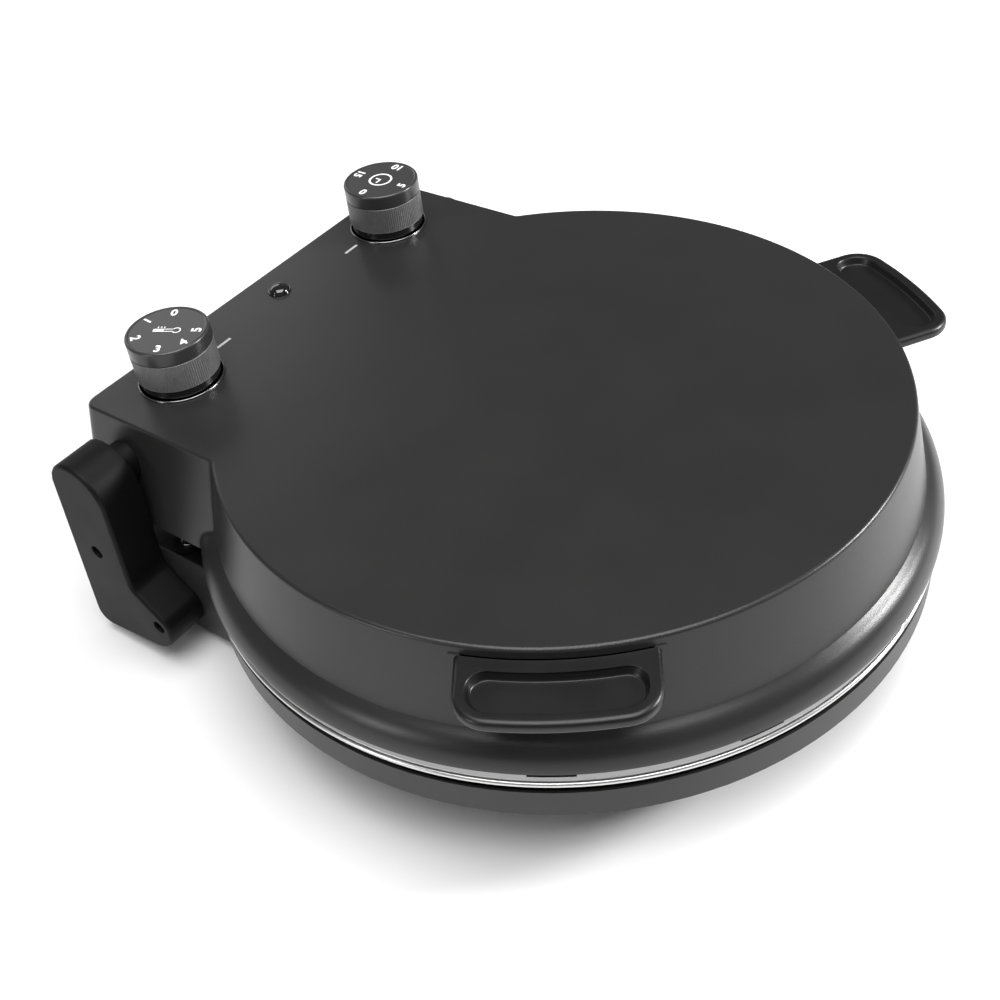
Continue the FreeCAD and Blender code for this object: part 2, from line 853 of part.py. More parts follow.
cover_low = lip_level + 1.0
cover_top = cover_low + s.cover_thick
rear_cover_blank = padded(
    "LidRearCover",
    box_outline(box_foot_half - s.sheet - 1.2, s.box_front, box_foot_reach - s.rear_bevel - 1.3, 2.0),
    cover_low,
    s.cover_thick,
)
post_half = s.box_half - 8.0
post_rear = box_reach - 14.0
post_front = hinge_y - s.boss_radius - 6.0
posts_at = [
    (-post_half + 5.0, post_rear),
    (post_half - 5.0, post_rear),
    (-post_half, post_front),
    (post_half, post_front),
]
cover_screws = group([screw(x, y, cover_low, "z", 2.8, 8.0, facing=-1, head_height=1.0) for x, y in posts_at])
node("lid_rear_cover", cut(
    rear_cover_blank,
    [cylinder(band_radius + 0.8, 30.0, 0.0, 0.0, cover_low - 10.0), cover_screws],
))
posts = [cylinder(3.8, panel_under - cover_top, x, y, cover_top) for x, y in posts_at]
node("lid_cover_posts", cut(group(posts), [cover_screws]))
node("lid_cover_screws", cover_screws)
node("lid_terminal_block", block(-20.0, box_foot_reach - 21.5, cover_top, 40.0, 9.0, 14.0))
node("thermal_fuse", cylinder(3.0, 24.0, 34.0, box_foot_reach - 17.0, cover_top + 3.0, "x"))

lid_solid = rounded(fused([lid_disc, lid_box]), s.edge_round, flat_circle(lid_top))
lid_hollow = fused([disc_hollow, box_hollow])
lens_hole = cylinder(stem, 8.0, 0.0, lens_y, lid_top - 5.0)
node("lid_shell", cut(
    lid_solid,
    [lid_hollow, thermostat_hole, timer_hole, lens_hole, pin_way, mirrored(pin_way)] + both_fixings,
))


# ---------------------------------------------------------------- plates and heating

upper_face = lip_level + s.upper_face_rise
upper_back = upper_face + s.plate_thick
lower_face = skirt_top - s.lower_face_drop
lower_back = lower_face - s.plate_thick
flange_low = lip_level - s.band_wall
upper_blank = revolved(
    "UpperPlate",
    [
        (0.0, upper_face),
        (plate_radius, upper_face),
        (flange_inner, flange_low),
        (band_radius - s.band_wall, flange_low),
        (band_radius - s.band_wall, band_bottom),
        (band_radius, band_bottom),
        (band_radius, lip_level),
        (flange_inner + 1.2, lip_level),
        (plate_radius + 1.2, upper_back),
        (0.0, upper_back),
    ],
)


def notch(degrees):
    """A slot in the top edge of the upper plate's band, at an angle about the axis."""
    solid = block(
        band_radius - s.band_wall - 1.0,
        s.notch_width / -2,
        lip_level - s.notch_depth,
        s.band_wall + 3.0,
        s.notch_width,
        s.notch_depth + 1.0,
    )
    return turned(solid, degrees)


node("upper_plate", cut(upper_blank, [notch(angle) for angle in (-148.0, -120.0, -60.0, -32.0)]))

roll_level = rim_top - s.roll_drop
roll_circle = band_radius + 0.4 - s.roll_radius
lower_blank = revolved(
    "LowerPlate",
    [
        (0.0, lower_face),
        (plate_radius, lower_face),
        (flange_inner, rim_top),
        (roll_circle - 1.0, rim_top),
        (roll_circle, roll_level + 0.6),
        (roll_circle, roll_level - 0.6),
        (roll_circle - 1.6, roll_level - 0.6),
        (roll_circle - 2.4, rim_top - s.band_wall),
        (flange_inner + 1.2, rim_top - s.band_wall),
        (plate_radius + 1.2, lower_back),
        (0.0, lower_back),
    ],
)
roll = doc.addObject("Part::Torus", "Roll")
bind(roll, "Radius1", roll_circle)
bind(roll, "Radius2", s.roll_radius)
place(roll, 0.0, 0.0, roll_level)
node("lower_plate", fused([lower_blank, roll]))

STUD_ANGLES = (-90.0, 30.0, 150.0)
CLIP_ANGLES = (-150.0, -30.0, 50.0, 130.0)


def span(level, way, near, far):
    """The low level and the height of a layer that lies near to far from a level."""
    return (level + near if way > 0 else level - far), far - near


def heating(name, back, way, strap_end, tab_way):
    """What lies behind a plate: element, clips, studs, straps, reflector, wool and nuts."""
    middle = back + way * (s.element_radius + 0.05)
    ring = doc.addObject("Part::Torus", "ElementRing")
    bind(ring, "Radius1", s.element_circle)
    bind(ring, "Radius2", s.element_radius)
    bind(ring, "Angle3", s.element_sweep)
    gap = (360.0 - s.element_sweep.value) / 2
    place(ring, 0.0, 0.0, middle, ((0, 0, 1), 90.0 + gap))
    ring.setExpression("Placement.Rotation.Angle", "90 + (360 - Sizes.element_sweep) / 2")
    ends = [on_circle(s.element_circle, 88.0 - gap), on_circle(s.element_circle, 92.0 + gap)]
    low, height = span(middle, way, 0.0, s.terminal_rise)
    legs = [cylinder(s.terminal_radius, height, x, y, low) for x, y in ends]
    node(f"{name}_heating_element", fused([ring] + legs))

    clip_near = s.element_radius * 2 + 0.1
    clip_far = clip_near + s.clip_thick
    reach = s.element_radius + 0.4
    low, height = span(back, way, clip_near, clip_far)
    leg_low, leg_height = span(back, way, 0.0, clip_far)
    bridge = block(s.element_circle - reach - s.clip_thick, -6.0, low, (reach + s.clip_thick) * 2, 12.0, height)
    inner = block(s.element_circle - reach - s.clip_thick, -6.0, leg_low, s.clip_thick, 12.0, leg_height)
    outer = block(s.element_circle + reach, -6.0, leg_low, s.clip_thick, 12.0, leg_height)
    strap = fused([bridge, inner, outer])
    node(f"{name}_heater_clips", group([turned(strap, angle) for angle in CLIP_ANGLES]))

    strap_far = s.shoulder_height + s.strap_thick
    reflector_far = strap_far + s.reflector_thick
    wool_far = reflector_far + s.wool_thick
    nut_far = wool_far + s.nut_height
    shoulder_low, shoulder_tall = span(back, way, 0.0, s.shoulder_height)
    thread_low, thread_tall = span(back, way, s.shoulder_height, nut_far + 1.5)
    stud = fused([
        cylinder(s.shoulder_radius, shoulder_tall, s.stud_circle, 0.0, shoulder_low),
        cylinder(s.stud_radius, thread_tall, s.stud_circle, 0.0, thread_low),
    ])
    studs = group([turned(stud, angle) for angle in STUD_ANGLES])
    node(f"{name}_plate_studs", studs)

    low, height = span(back, way, s.shoulder_height, strap_far)
    start = s.stud_circle - 8.0
    tab_low, tab_tall = span(low, tab_way, 0.0, s.strap_tab)
    half_width = s.strap_width / 2
    arm_bar = block(start, -half_width, low, strap_end - start, s.strap_width, height)
    tab = block(strap_end - s.strap_thick, -half_width, tab_low, s.strap_thick, s.strap_width, tab_tall)
    bar = cut(fused([arm_bar, tab]), [stud])
    node(f"{name}_plate_straps", group([turned(bar, angle) for angle in STUD_ANGLES]))

    ways = [cylinder(s.element_radius + 1.5, 60.0, x, y, back - 30.0) for x, y in ends]
    low, height = span(back, way, strap_far, reflector_far)
    disc = cylinder(reflector_radius, height, 0.0, 0.0, low)
    node(f"{name}_reflector", cut(disc, [studs] + ways))
    low, height = span(back, way, reflector_far, wool_far)
    disc = cylinder(reflector_radius, height, 0.0, 0.0, low)
    node(f"{name}_insulation", cut(disc, [studs] + ways))
    low, height = span(back, way, wool_far, nut_far)
    nut_body = doc.addObject("Part::Prism", "Nut")
    nut_body.Polygon = 6
    bind(nut_body, "Circumradius", s.nut_radius)
    bind(nut_body, "Height", height)
    place(nut_body, s.stud_circle, 0.0, low)
    nut = cut(nut_body, [stud])
    node(f"{name}_plate_nuts", group([turned(nut, angle) for angle in STUD_ANGLES]))


tab_level = upper_back + s.shoulder_height + s.strap_tab
heating("upper", upper_back, 1, wall_at(tab_level) - s.sheet - 0.6, 1)
heating("lower", lower_back, -1, band_radius - s.sheet - 0.6, 1)


# ---------------------------------------------------------------- the base

def base_outline(inset):
    """The base's (r, z) outline: an upright skirt, a shoulder and a slope down to the floor."""
    shoulder = band_radius - s.shoulder_in
    return [
        (0.0, skirt_top),
        (band_radius - inset, skirt_top),
        (band_radius - inset, skirt_top - s.skirt_height + inset * 0.6),
        (shoulder - inset, skirt_top - s.skirt_height - 3.0 + inset * 0.6),
        (base_foot_radius - inset, floor + inset),
        (0.0, floor + inset),
    ]


def base_box(name, inset, low, high):
    """The base's block below the control box."""
    corners = box_outline(base_half - inset, s.box_front, box_foot_reach - inset, s.box_corner - inset)
    return padded(name, corners, low, high - low)


gland_x, gland_z = 60.0, floor + 20.0
gland_start = box_foot_reach - s.gland_length
gland_hole = cylinder(s.gland_radius, s.gland_length, gland_x, gland_start, gland_z, "y")
node("cord_gland", cut(
    gland_hole,
    [cylinder(s.gland_bore, s.gland_length, gland_x, gland_start, gland_z, "y")],
))
base_solid = fused([
    revolved("BaseDisc", base_outline(0.0)),
    base_box("BaseBox", 0.0, floor, box_wall_top),
])
floor_hole = base_foot_radius - s.base_flange
bottom_screw_spots = [on_circle(base_foot_radius - 4.5, angle) for angle in (-150.0, -90.0, -30.0, 30.0, 150.0)]
bottom_screw_spots += [(-60.0, box_foot_reach - 8.0), (60.0, box_foot_reach - 8.0)]
cover_under = floor - s.floor_plate
bottom_screws = group([
    screw(x, y, cover_under, "z", 3.0, s.floor_plate + s.sheet + 2.0, facing=-1, head_height=1.6)
    for x, y in bottom_screw_spots
])
foot_spots = [on_circle(s.foot_circle, angle) for angle in (-135.0, -45.0)]
foot_spots += [(-s.foot_rear_x, box_foot_reach - s.foot_rear_inset), (s.foot_rear_x, box_foot_reach - s.foot_rear_inset)]
foot_seat = s.foot_height / 2
foot_screws = group([
    screw(x, y, foot_seat, "z", 3.0, foot_seat + s.floor_plate + 3.0, facing=-1, head_height=1.8)
    for x, y in foot_spots
])
node("base_shell", cut(
    base_solid,
    [
        revolved("BaseDiscHollow", base_outline(s.sheet)),
        base_box("BaseBoxHollow", s.sheet, floor + s.sheet, skirt_top + 1.0),
        cylinder(floor_hole, 10.0, 0.0, 0.0, floor - 2.0),
        block(20.0 - base_half, s.box_front, floor - 2.0, base_half * 2 - 40.0, box_foot_reach - 12.0 - s.box_front, 10.0),
        gland_hole,
        slim_fixings,
        left_fixings,
        bottom_screws,
    ],
))
bottom_blank = fused([
    cylinder(base_foot_radius - 1.0, s.floor_plate, 0.0, 0.0, cover_under),
    base_box("BottomBox", 3.0, cover_under, floor),
])
node("base_bottom_cover", cut(bottom_blank, [bottom_screws, foot_screws]))
node("bottom_screws", bottom_screws)
node("foot_screws", foot_screws)
feet = [
    cut(cylinder(s.foot_radius, s.foot_height, x, y), [foot_screws, cylinder(4.2, foot_seat, x, y)])
    for x, y in foot_spots
]
node("rubber_feet", group(feet))
node("base_terminal_block", block(-22.0, box_foot_reach - 30.0, floor, 44.0, 16.0, 16.0))

panel_top = box_wall_top - 1.0
panel_low = panel_top - s.rear_panel_thick
pad_spots = [(9.5 - base_half, hinge_y - 22.0), (base_half - 9.5, hinge_y - 22.0)]
rear_spots = [(-60.0, box_foot_reach - 9.0), (60.0, box_foot_reach - 9.0)]
pad_rise = 1.5
panel_screws = group(
    [screw(x, y, panel_top + pad_rise, "z", 3.2, 9.0, head_height=1.5) for x, y in pad_spots]
    + [screw(x, y, panel_top, "z", 3.2, 9.0, head_height=1.5) for x, y in rear_spots]
)
panel_blank = fused(
    [base_box("RearPanel", s.sheet + 0.2, panel_low, panel_top)]
    + [cylinder(7.5, s.rear_panel_thick + pad_rise, x, y, panel_low) for x, y in pad_spots]
)
node("base_rear_panel", cut(
    panel_blank,
    [cylinder(flange_inner + 2.0, 40.0, 0.0, 0.0, panel_low - 20.0), panel_screws],
))
node("rear_panel_screws", panel_screws)


# ---------------------------------------------------------------- checks and files

doc.recompute()
for thing in doc.Objects:
    if "Invalid" in thing.State or "Error" in thing.State:
        raise RuntimeError(f"{thing.Label} did not build: {thing.State}")
os.makedirs("parts", exist_ok=True)
if len({piece.Label for piece in NODES}) != len(NODES):
    raise RuntimeError("two pieces share a name")
for piece in NODES:
    shape = piece.Shape
    if shape.isNull() or not shape.isValid() or not shape.Solids:
        raise RuntimeError(f"{piece.Label} has no sound solid")
for piece in NODES:
    piece.Shape.exportStep(os.path.join("parts", piece.Label + ".step"))
print(len(NODES), "pieces written")
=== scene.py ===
"""The looks of a round electric contact griddle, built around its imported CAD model."""

import logging
import math
from dataclasses import dataclass, field
from enum import Enum
from typing import Callable, Optional, Union

import bmesh
import bpy
from mathutils import Matrix, Vector


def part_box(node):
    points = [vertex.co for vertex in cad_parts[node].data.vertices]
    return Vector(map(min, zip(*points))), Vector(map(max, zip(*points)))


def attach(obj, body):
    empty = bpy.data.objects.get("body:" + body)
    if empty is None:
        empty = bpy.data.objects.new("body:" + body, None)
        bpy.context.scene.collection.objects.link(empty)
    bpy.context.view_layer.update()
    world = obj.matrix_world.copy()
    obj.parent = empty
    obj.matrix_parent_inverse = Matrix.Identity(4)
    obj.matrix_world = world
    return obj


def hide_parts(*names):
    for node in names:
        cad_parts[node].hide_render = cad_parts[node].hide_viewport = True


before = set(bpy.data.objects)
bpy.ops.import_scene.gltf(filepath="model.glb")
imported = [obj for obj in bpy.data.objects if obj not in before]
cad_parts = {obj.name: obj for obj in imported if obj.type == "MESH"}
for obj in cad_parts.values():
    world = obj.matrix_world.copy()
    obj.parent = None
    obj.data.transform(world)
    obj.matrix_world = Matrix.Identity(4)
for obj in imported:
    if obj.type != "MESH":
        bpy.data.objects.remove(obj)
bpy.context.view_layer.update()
MM = 0.001
PRINT_SINK = 0.05  # how deep a print is bedded in its panel, in millimetres
LOG = logging.getLogger("griddle")

Number = Union[int, float]
Loop = list[Vector]
Point = tuple[float, float]
Outline = list[Point]


# ------------------------------------------------------------------ shader graph

class Socket:
    """An output of a shader node; arithmetic on it adds Math nodes."""

    def __init__(self, graph: "Graph", output: bpy.types.NodeSocket) -> None:
        """Wraps a node's output."""
        self.graph = graph
        self.output = output

    def _math(self, operation: str, first: "Value", second: "Value") -> "Socket":
        """One Math node on two values."""
        return self.graph.add("ShaderNodeMath", {"operation": operation}, {0: first, 1: second})

    def __add__(self, other: "Value") -> "Socket":
        """Sum."""
        return self._math("ADD", self, other)

    def __sub__(self, other: "Value") -> "Socket":
        """Difference."""
        return self._math("SUBTRACT", self, other)

    def __rsub__(self, other: "Value") -> "Socket":
        """Difference, the other way round."""
        return self._math("SUBTRACT", other, self)

    def __mul__(self, other: "Value") -> "Socket":
        """Product."""
        return self._math("MULTIPLY", self, other)

    __radd__ = __add__
    __rmul__ = __mul__


Value = Union[Socket, Number, tuple, bpy.types.NodeSocket]


class Graph:
    """A material's node tree around one Principled shader."""

    def __init__(self, name: str) -> None:
        """Starts an empty material.

        Args:
            name: what the material is called.
        """
        self.material = bpy.data.materials.new(name)
        self.material.use_nodes = True
        self.tree = self.material.node_tree
        self.shader = self.tree.nodes["Principled BSDF"]

    def add(
        self,
        kind: str,
        settings: Optional[dict] = None,
        inputs: Optional[dict] = None,
        output: Union[int, str] = 0,
    ) -> Socket:
        """Adds any node.

        Args:
            kind: the node's type.
            settings: its attributes, set before its sockets.
            inputs: its sockets' values or links, by name or number.
            output: the output that is handed back.

        Returns:
            The wanted output.
        """
        node = self.tree.nodes.new(kind)
        for key, value in (settings or {}).items():
            setattr(node, key, value)
        for key, value in (inputs or {}).items():
            self.feed(node.inputs[key], value)
        return Socket(self, node.outputs[output])

    def feed(self, socket: bpy.types.NodeSocket, value: Value) -> None:
        """Links a value to a socket, or sets it there."""
        if isinstance(value, Socket):
            self.tree.links.new(value.output, socket)
        elif isinstance(value, tuple) and len(value) == 3 and socket.type == "RGBA":
            socket.default_value = (*value, 1.0)
        else:
            socket.default_value = value

    def finish(self, **sockets: Value) -> bpy.types.Material:
        """Sets the shader's sockets, named with underscores for spaces.

        Args:
            sockets: a value or link for each socket.

        Returns:
            The finished material.
        """
        for key, value in sockets.items():
            self.feed(self.shader.inputs[key.replace("_", " ")], value)
        return self.material

    def place(self) -> Socket:
        """The point on the surface, in the object's own metres."""
        return self.add("ShaderNodeTexCoord", output="Object")

    def noise(self, size_mm: float, detail: float = 2.0, where: Optional[Socket] = None) -> Socket:
        """Noise whose blobs are about size_mm across.

        Args:
            size_mm: the size of one blob.
            detail: how many finer layers it has.
            where: the coordinates, if not the object's own.

        Returns:
            A grey value around 0.5.
        """
        settings = {"noise_dimensions": "3D"}
        inputs = {"Vector": where or self.place(), "Scale": 1.0 / (size_mm * MM), "Detail": detail}
        return self.add("ShaderNodeTexNoise", settings, inputs)

    def bump(self, height: Socket, depth_mm: float) -> Socket:
        """A surface normal from a height between 0 and 1.

        Args:
            height: the height.
            depth_mm: what a height of 1 is.

        Returns:
            The normal.
        """
        return self.add(
            "ShaderNodeBump", None, {"Height": height, "Distance": depth_mm * MM, "Strength": 1.0}, "Normal"
        )

    def blend(self, factor: Value, first: Value, second: Value) -> Socket:
        """A colour between two, by a factor."""
        settings = {"data_type": "RGBA"}
        return self.add("ShaderNodeMix", settings, {0: factor, 6: first, 7: second}, 2)


def grey(level: float, warmth: float = 0.0) -> tuple[float, float, float]:
    """A neutral colour with a little warmth."""
    return (level * (1 + warmth), level, level * (1 - warmth))


# ------------------------------------------------------------------ finishes

@dataclass(frozen=True)
class PowderCoat:
    """A baked coat with a fine pebbled grain and a soft sheen."""

    name: str
    level: float
    roughness: float
    grain_mm: float = 0.55
    grain_depth_mm: float = 0.018
    mottle: float = 0.12
    coat: float = 0.0
    ior: float = 1.4
    cloud_mm: float = 38.0

    def make(self) -> bpy.types.Material:
        """Builds the material."""
        graph = Graph(self.name)
        grain = graph.noise(self.grain_mm, 2.0)
        broad = graph.noise(self.cloud_mm, 2.0)
        low, high = self.level * (1 - self.mottle), self.level * (1 + self.mottle)
        tint = graph.blend(broad * 0.6 + grain * 0.4, grey(low), grey(high, 0.01))
        rough = broad * 0.10 + grain * 0.10 + (self.roughness - 0.10)
        return graph.finish(
            Base_Color=tint,
            Roughness=rough,
            Normal=graph.bump(grain, self.grain_depth_mm),
            Coat_Weight=self.coat,
            Coat_Roughness=0.25,
            IOR=self.ior,
        )


@dataclass(frozen=True)
class Moulding:
    """A moulded plastic or rubber with a spark-eroded texture."""

    name: str
    level: float
    roughness: float
    grain_mm: float = 0.35
    grain_depth_mm: float = 0.008
    warmth: float = 0.0
    ior: float = 1.45
    handling_mm: float = 24.0

    def make(self) -> bpy.types.Material:
        """Builds the material."""
        graph = Graph(self.name)
        grain = graph.noise(self.grain_mm, 3.0)
        handling = graph.noise(self.handling_mm, 3.0)
        low, high = self.level * 0.88, self.level * 1.15
        tint = graph.blend(handling, grey(low, self.warmth), grey(high, self.warmth))
        rough = handling * 0.14 + grain * 0.06 + (self.roughness - 0.10)
        return graph.finish(
            Base_Color=tint, Roughness=rough, Normal=graph.bump(grain, self.grain_depth_mm), IOR=self.ior
        )


@dataclass(frozen=True)
class Metal:
    """A bare or plated metal with a fine random grain."""

    name: str
    level: float
    roughness: float
    grain_mm: float = 0.4
    grain_depth_mm: float = 0.003
    spread: float = 0.08
    warmth: float = 0.0
    cloud_mm: float = 14.0

    def make(self) -> bpy.types.Material:
        """Builds the material."""
        graph = Graph(self.name)
        grain = graph.noise(self.grain_mm, 2.0)
        cloud = graph.noise(self.cloud_mm, 3.0)
        low, high = self.level * (1 - self.spread), self.level * (1 + self.spread)
        tint = graph.blend(cloud, grey(low, self.warmth), grey(high, self.warmth))
        rough = cloud * 0.12 + (self.roughness - 0.06)
        return graph.finish(
            Base_Color=tint, Metallic=1.0, Roughness=rough, Normal=graph.bump(grain, self.grain_depth_mm)
        )


@dataclass(frozen=True)
class EdgedPlate:
    """A cooking plate: dark release coat inside, bare turned metal on its outer edge."""

    name: str
    level: float
    roughness: float
    centre: Point
    edge: float
    coat_level: float = 0.018
    line_mm: float = 0.25
    line_depth_mm: float = 0.004
    cloud_mm: float = 9.0

    def make(self) -> bpy.types.Material:
        """Builds the material."""
        graph = Graph(self.name)
        split = graph.add("ShaderNodeSeparateXYZ", None, {0: graph.place()})
        node = split.output.node
        across, along, up = (Socket(graph, node.outputs[axis]) for axis in "XYZ")
        across, along = across - self.centre[0], along - self.centre[1]
        square = across * across + along * along
        radius = graph.add("ShaderNodeMath", {"operation": "SQRT"}, {0: square})
        angle = graph.add("ShaderNodeMath", {"operation": "ARCTAN2"}, {0: along, 1: across})
        rings = graph.add("ShaderNodeCombineXYZ", None, {"X": radius, "Y": up, "Z": angle * 0.002})
        lines = graph.noise(self.line_mm, 2.0, rings)
        cloud = graph.noise(self.cloud_mm, 3.0)
        bare = graph.add("ShaderNodeMath", {"operation": "GREATER_THAN"}, {0: radius, 1: self.edge})
        grain = cloud * 0.5 + lines * 0.5
        metal = graph.blend(grain, grey(self.level * 0.86), grey(self.level * 1.10))
        coat = graph.blend(cloud, grey(self.coat_level * 0.85), grey(self.coat_level * 1.2))
        tint = graph.blend(bare, coat, metal)
        return graph.finish(
            Base_Color=tint,
            Metallic=bare,
            Roughness=lines * 0.12 + cloud * 0.08 + (self.roughness - 0.1),
            Normal=graph.bump(lines, self.line_depth_mm),
        )


@dataclass(frozen=True)
class BrushedGrip:
    """A knob's grip: anodised metal brushed up and down between its flutes."""

    name: str
    level: float
    roughness: float
    streak_mm: float = 0.22
    streak_depth_mm: float = 0.02
    streak_squeeze: float = 0.06
    patch_mm: float = 6.0
    metal: float = 0.35

    def make(self) -> bpy.types.Material:
        """Builds the material."""
        graph = Graph(self.name)
        squeeze = (1.0, 1.0, self.streak_squeeze)
        stretched = graph.add("ShaderNodeVectorMath", {"operation": "MULTIPLY"}, {0: graph.place(), 1: squeeze})
        streaks = graph.noise(self.streak_mm, 3.0, stretched)
        patches = graph.noise(self.patch_mm, 3.0)
        tone = streaks * 0.65 + patches * 0.35
        tint = graph.blend(tone, grey(self.level * 0.35), grey(self.level * 1.7))
        return graph.finish(
            Base_Color=tint,
            Metallic=self.metal,
            Roughness=tone * 0.2 + (self.roughness - 0.08),
            Normal=graph.bump(streaks, self.streak_depth_mm),
        )


@dataclass(frozen=True)
class FibreBoard:
    """A pressed ceramic fibre board."""

    name: str
    level: float
    fibre_mm: float = 1.4
    fibre_depth_mm: float = 0.25

    def make(self) -> bpy.types.Material:
        """Builds the material."""
        graph = Graph(self.name)
        fibre = graph.noise(self.fibre_mm, 6.0)
        tint = graph.blend(fibre, grey(self.level * 0.85, 0.03), grey(self.level, 0.02))
        return graph.finish(Base_Color=tint, Roughness=0.95, Normal=graph.bump(fibre, self.fibre_depth_mm))


@dataclass(frozen=True)
class Gloss:
    """A polished dark plastic or lamp glass."""

    name: str
    colour: tuple[float, float, float]
    roughness: float = 0.08
    smear_mm: float = 5.0
    coat: float = 0.6

    def make(self) -> bpy.types.Material:
        """Builds the material."""
        graph = Graph(self.name)
        smear = graph.noise(self.smear_mm, 3.0)
        darker = tuple(channel * 0.8 for channel in self.colour)
        tint = graph.blend(smear, darker, self.colour)
        return graph.finish(Base_Color=tint, Roughness=smear * 0.06 + self.roughness, Coat_Weight=self.coat)


Recipe = Union[PowderCoat, Moulding, Metal, EdgedPlate, BrushedGrip, FibreBoard, Gloss]
BARE_EDGE = 0.1628  # the radius beyond which the plates are bare metal, in metres


class Finish(Enum):
    """Which finish a piece takes."""

    COAT = "dark_powder_coat"
    BASE_COAT = "base_powder_coat"
    PLASTIC = "matte_black_plastic"
    HANDLE = "handle_phenolic"
    PLATE = "cast_plate"
    ROLLED = "rolled_rim"
    ELEMENT = "element_sheath"
    ZINC = "zinc_plate"
    SCREW = "bright_screw"
    REFLECTOR = "reflector_sheet"
    WOOL = "fibre_board"
    GRIP = "knurled_grip"
    SKIRT = "knob_skirt"
    CAP = "knob_cap_metal"
    CHROME = "bezel_chrome"
    LENS = "lens_gloss"
    LAMP = "lamp_glass"
    SWITCH = "switch_moulding"
    RUBBER = "foot_rubber"
    INK = "white_print"
    MARK = "panel_print"


def finish_recipes(centre: Point) -> dict[Finish, Recipe]:
    """Every finish of the appliance.

    Args:
        centre: where the plates' axis stands, for the turned metals.

    Returns:
        A recipe for each finish.
    """
    recipes = {
        Finish.COAT: lambda n: PowderCoat(n, 0.015, 0.31, grain_mm=0.5, grain_depth_mm=0.050, ior=1.40),
        Finish.BASE_COAT: lambda n: PowderCoat(n, 0.014, 0.42, grain_mm=0.5, grain_depth_mm=0.024),
        Finish.PLASTIC: lambda n: Moulding(n, 0.003, 0.50, grain_mm=0.25, grain_depth_mm=0.024, ior=1.22),
        Finish.HANDLE: lambda n: Moulding(n, 0.004, 0.36, grain_mm=0.28, grain_depth_mm=0.010, ior=1.42),
        Finish.PLATE: lambda n: EdgedPlate(n, 0.30, 0.42, centre, BARE_EDGE),
        Finish.ROLLED: lambda n: EdgedPlate(n, 0.62, 0.30, centre, BARE_EDGE),
        Finish.ELEMENT: lambda n: Metal(n, 0.16, 0.5, warmth=0.08, spread=0.3),
        Finish.ZINC: lambda n: Metal(n, 0.58, 0.36, spread=0.14),
        Finish.SCREW: lambda n: Metal(n, 0.70, 0.22),
        Finish.REFLECTOR: lambda n: Metal(n, 0.78, 0.25),
        Finish.WOOL: lambda n: FibreBoard(n, 0.78),
        Finish.GRIP: lambda n: BrushedGrip(n, 0.13, 0.36),
        Finish.SKIRT: lambda n: Gloss(n, grey(0.008), 0.12),
        Finish.CAP: lambda n: PowderCoat(
            n, 0.026, 0.32, grain_mm=0.2, grain_depth_mm=0.002, mottle=0.05, coat=0.3
        ),
        Finish.CHROME: lambda n: Metal(n, 0.20, 0.22, grain_depth_mm=0.0005),
        Finish.LENS: lambda n: Gloss(n, grey(0.004)),
        Finish.LAMP: lambda n: Gloss(n, (0.5, 0.08, 0.03)),
        Finish.SWITCH: lambda n: Moulding(n, 0.16, 0.5, warmth=0.12),
        Finish.RUBBER: lambda n: Moulding(n, 0.012, 0.72, grain_mm=0.8, grain_depth_mm=0.03),
        Finish.INK: lambda n: Moulding(n, 0.72, 0.5, grain_mm=0.2, grain_depth_mm=0.002),
        Finish.MARK: lambda n: Moulding(n, 0.34, 0.5, grain_mm=0.2, grain_depth_mm=0.002),
    }
    return {finish: build(finish.value) for finish, build in recipes.items()}


class Palette:
    """Makes each finish's material once, when it is first asked for."""

    def __init__(self, centre: Point) -> None:
        """Keeps the recipes."""
        self.recipes = finish_recipes(centre)
        self.made: dict[Finish, bpy.types.Material] = {}

    def __getitem__(self, finish: Finish) -> bpy.types.Material:
        """The material of a finish."""
        if finish not in self.made:
            self.made[finish] = self.recipes[finish].make()
        return self.made[finish]

    def dress(self, piece: bpy.types.Object, *finishes: Finish) -> None:
        """Gives a piece its material slots, in order."""
        piece.data.materials.clear()
        for finish in finishes:
            piece.data.materials.append(self[finish])


# ------------------------------------------------------------------ mesh helpers

def arc_points(
    centre: Point, radius: float, start: float, end: float, steps: int
) -> Outline:
    """Points on an arc, ends included.

    Args:
        centre: its middle.
        radius: its radius.
        start: the first angle, in degrees.
        end: the last angle, in degrees.
        steps: how many stretches it is cut into.

    Returns:
        The points as (x, y) pairs.
    """
    points = []
    for index in range(steps + 1):
        turn = math.radians(start + (end - start) * index / steps)
        points.append((centre[0] + radius * math.cos(turn), centre[1] + radius * math.sin(turn)))
    return points


def bridge(mesh: bmesh.types.BMesh, loops: list[Loop]) -> list[list]:
    """Joins closed loops of equal length with quads.

    Args:
        mesh: where the faces go.
        loops: the loops, in order.

    Returns:
        The vertices of each loop.
    """
    rows = [[mesh.verts.new(point) for point in loop] for loop in loops]
    count = len(rows[0])
    for first, second in zip(rows, rows[1:]):
        for index in range(count):
            following = (index + 1) % count
            mesh.faces.new((first[index], first[following], second[following], second[index]))
    return rows


def to_object(name: str, mesh: bmesh.types.BMesh, smooth_deg: float = 40.0) -> bpy.types.Object:
    """Turns a bmesh into an object with tidy normals.

    Args:
        name: the object's name.
        mesh: its mesh, which is freed.
        smooth_deg: edges sharper than this stay crisp.

    Returns:
        The object, linked to the scene.
    """
    bmesh.ops.remove_doubles(mesh, verts=mesh.verts, dist=1e-6)
    bmesh.ops.recalc_face_normals(mesh, faces=mesh.faces)
    limit = math.radians(smooth_deg)
    for edge in mesh.edges:
        edge.smooth = len(edge.link_faces) != 2 or edge.calc_face_angle(0.0) < limit
    for face in mesh.faces:
        face.smooth = True
    data = bpy.data.meshes.new(name)
    mesh.to_mesh(data)
    mesh.free()
    return show(name, data)


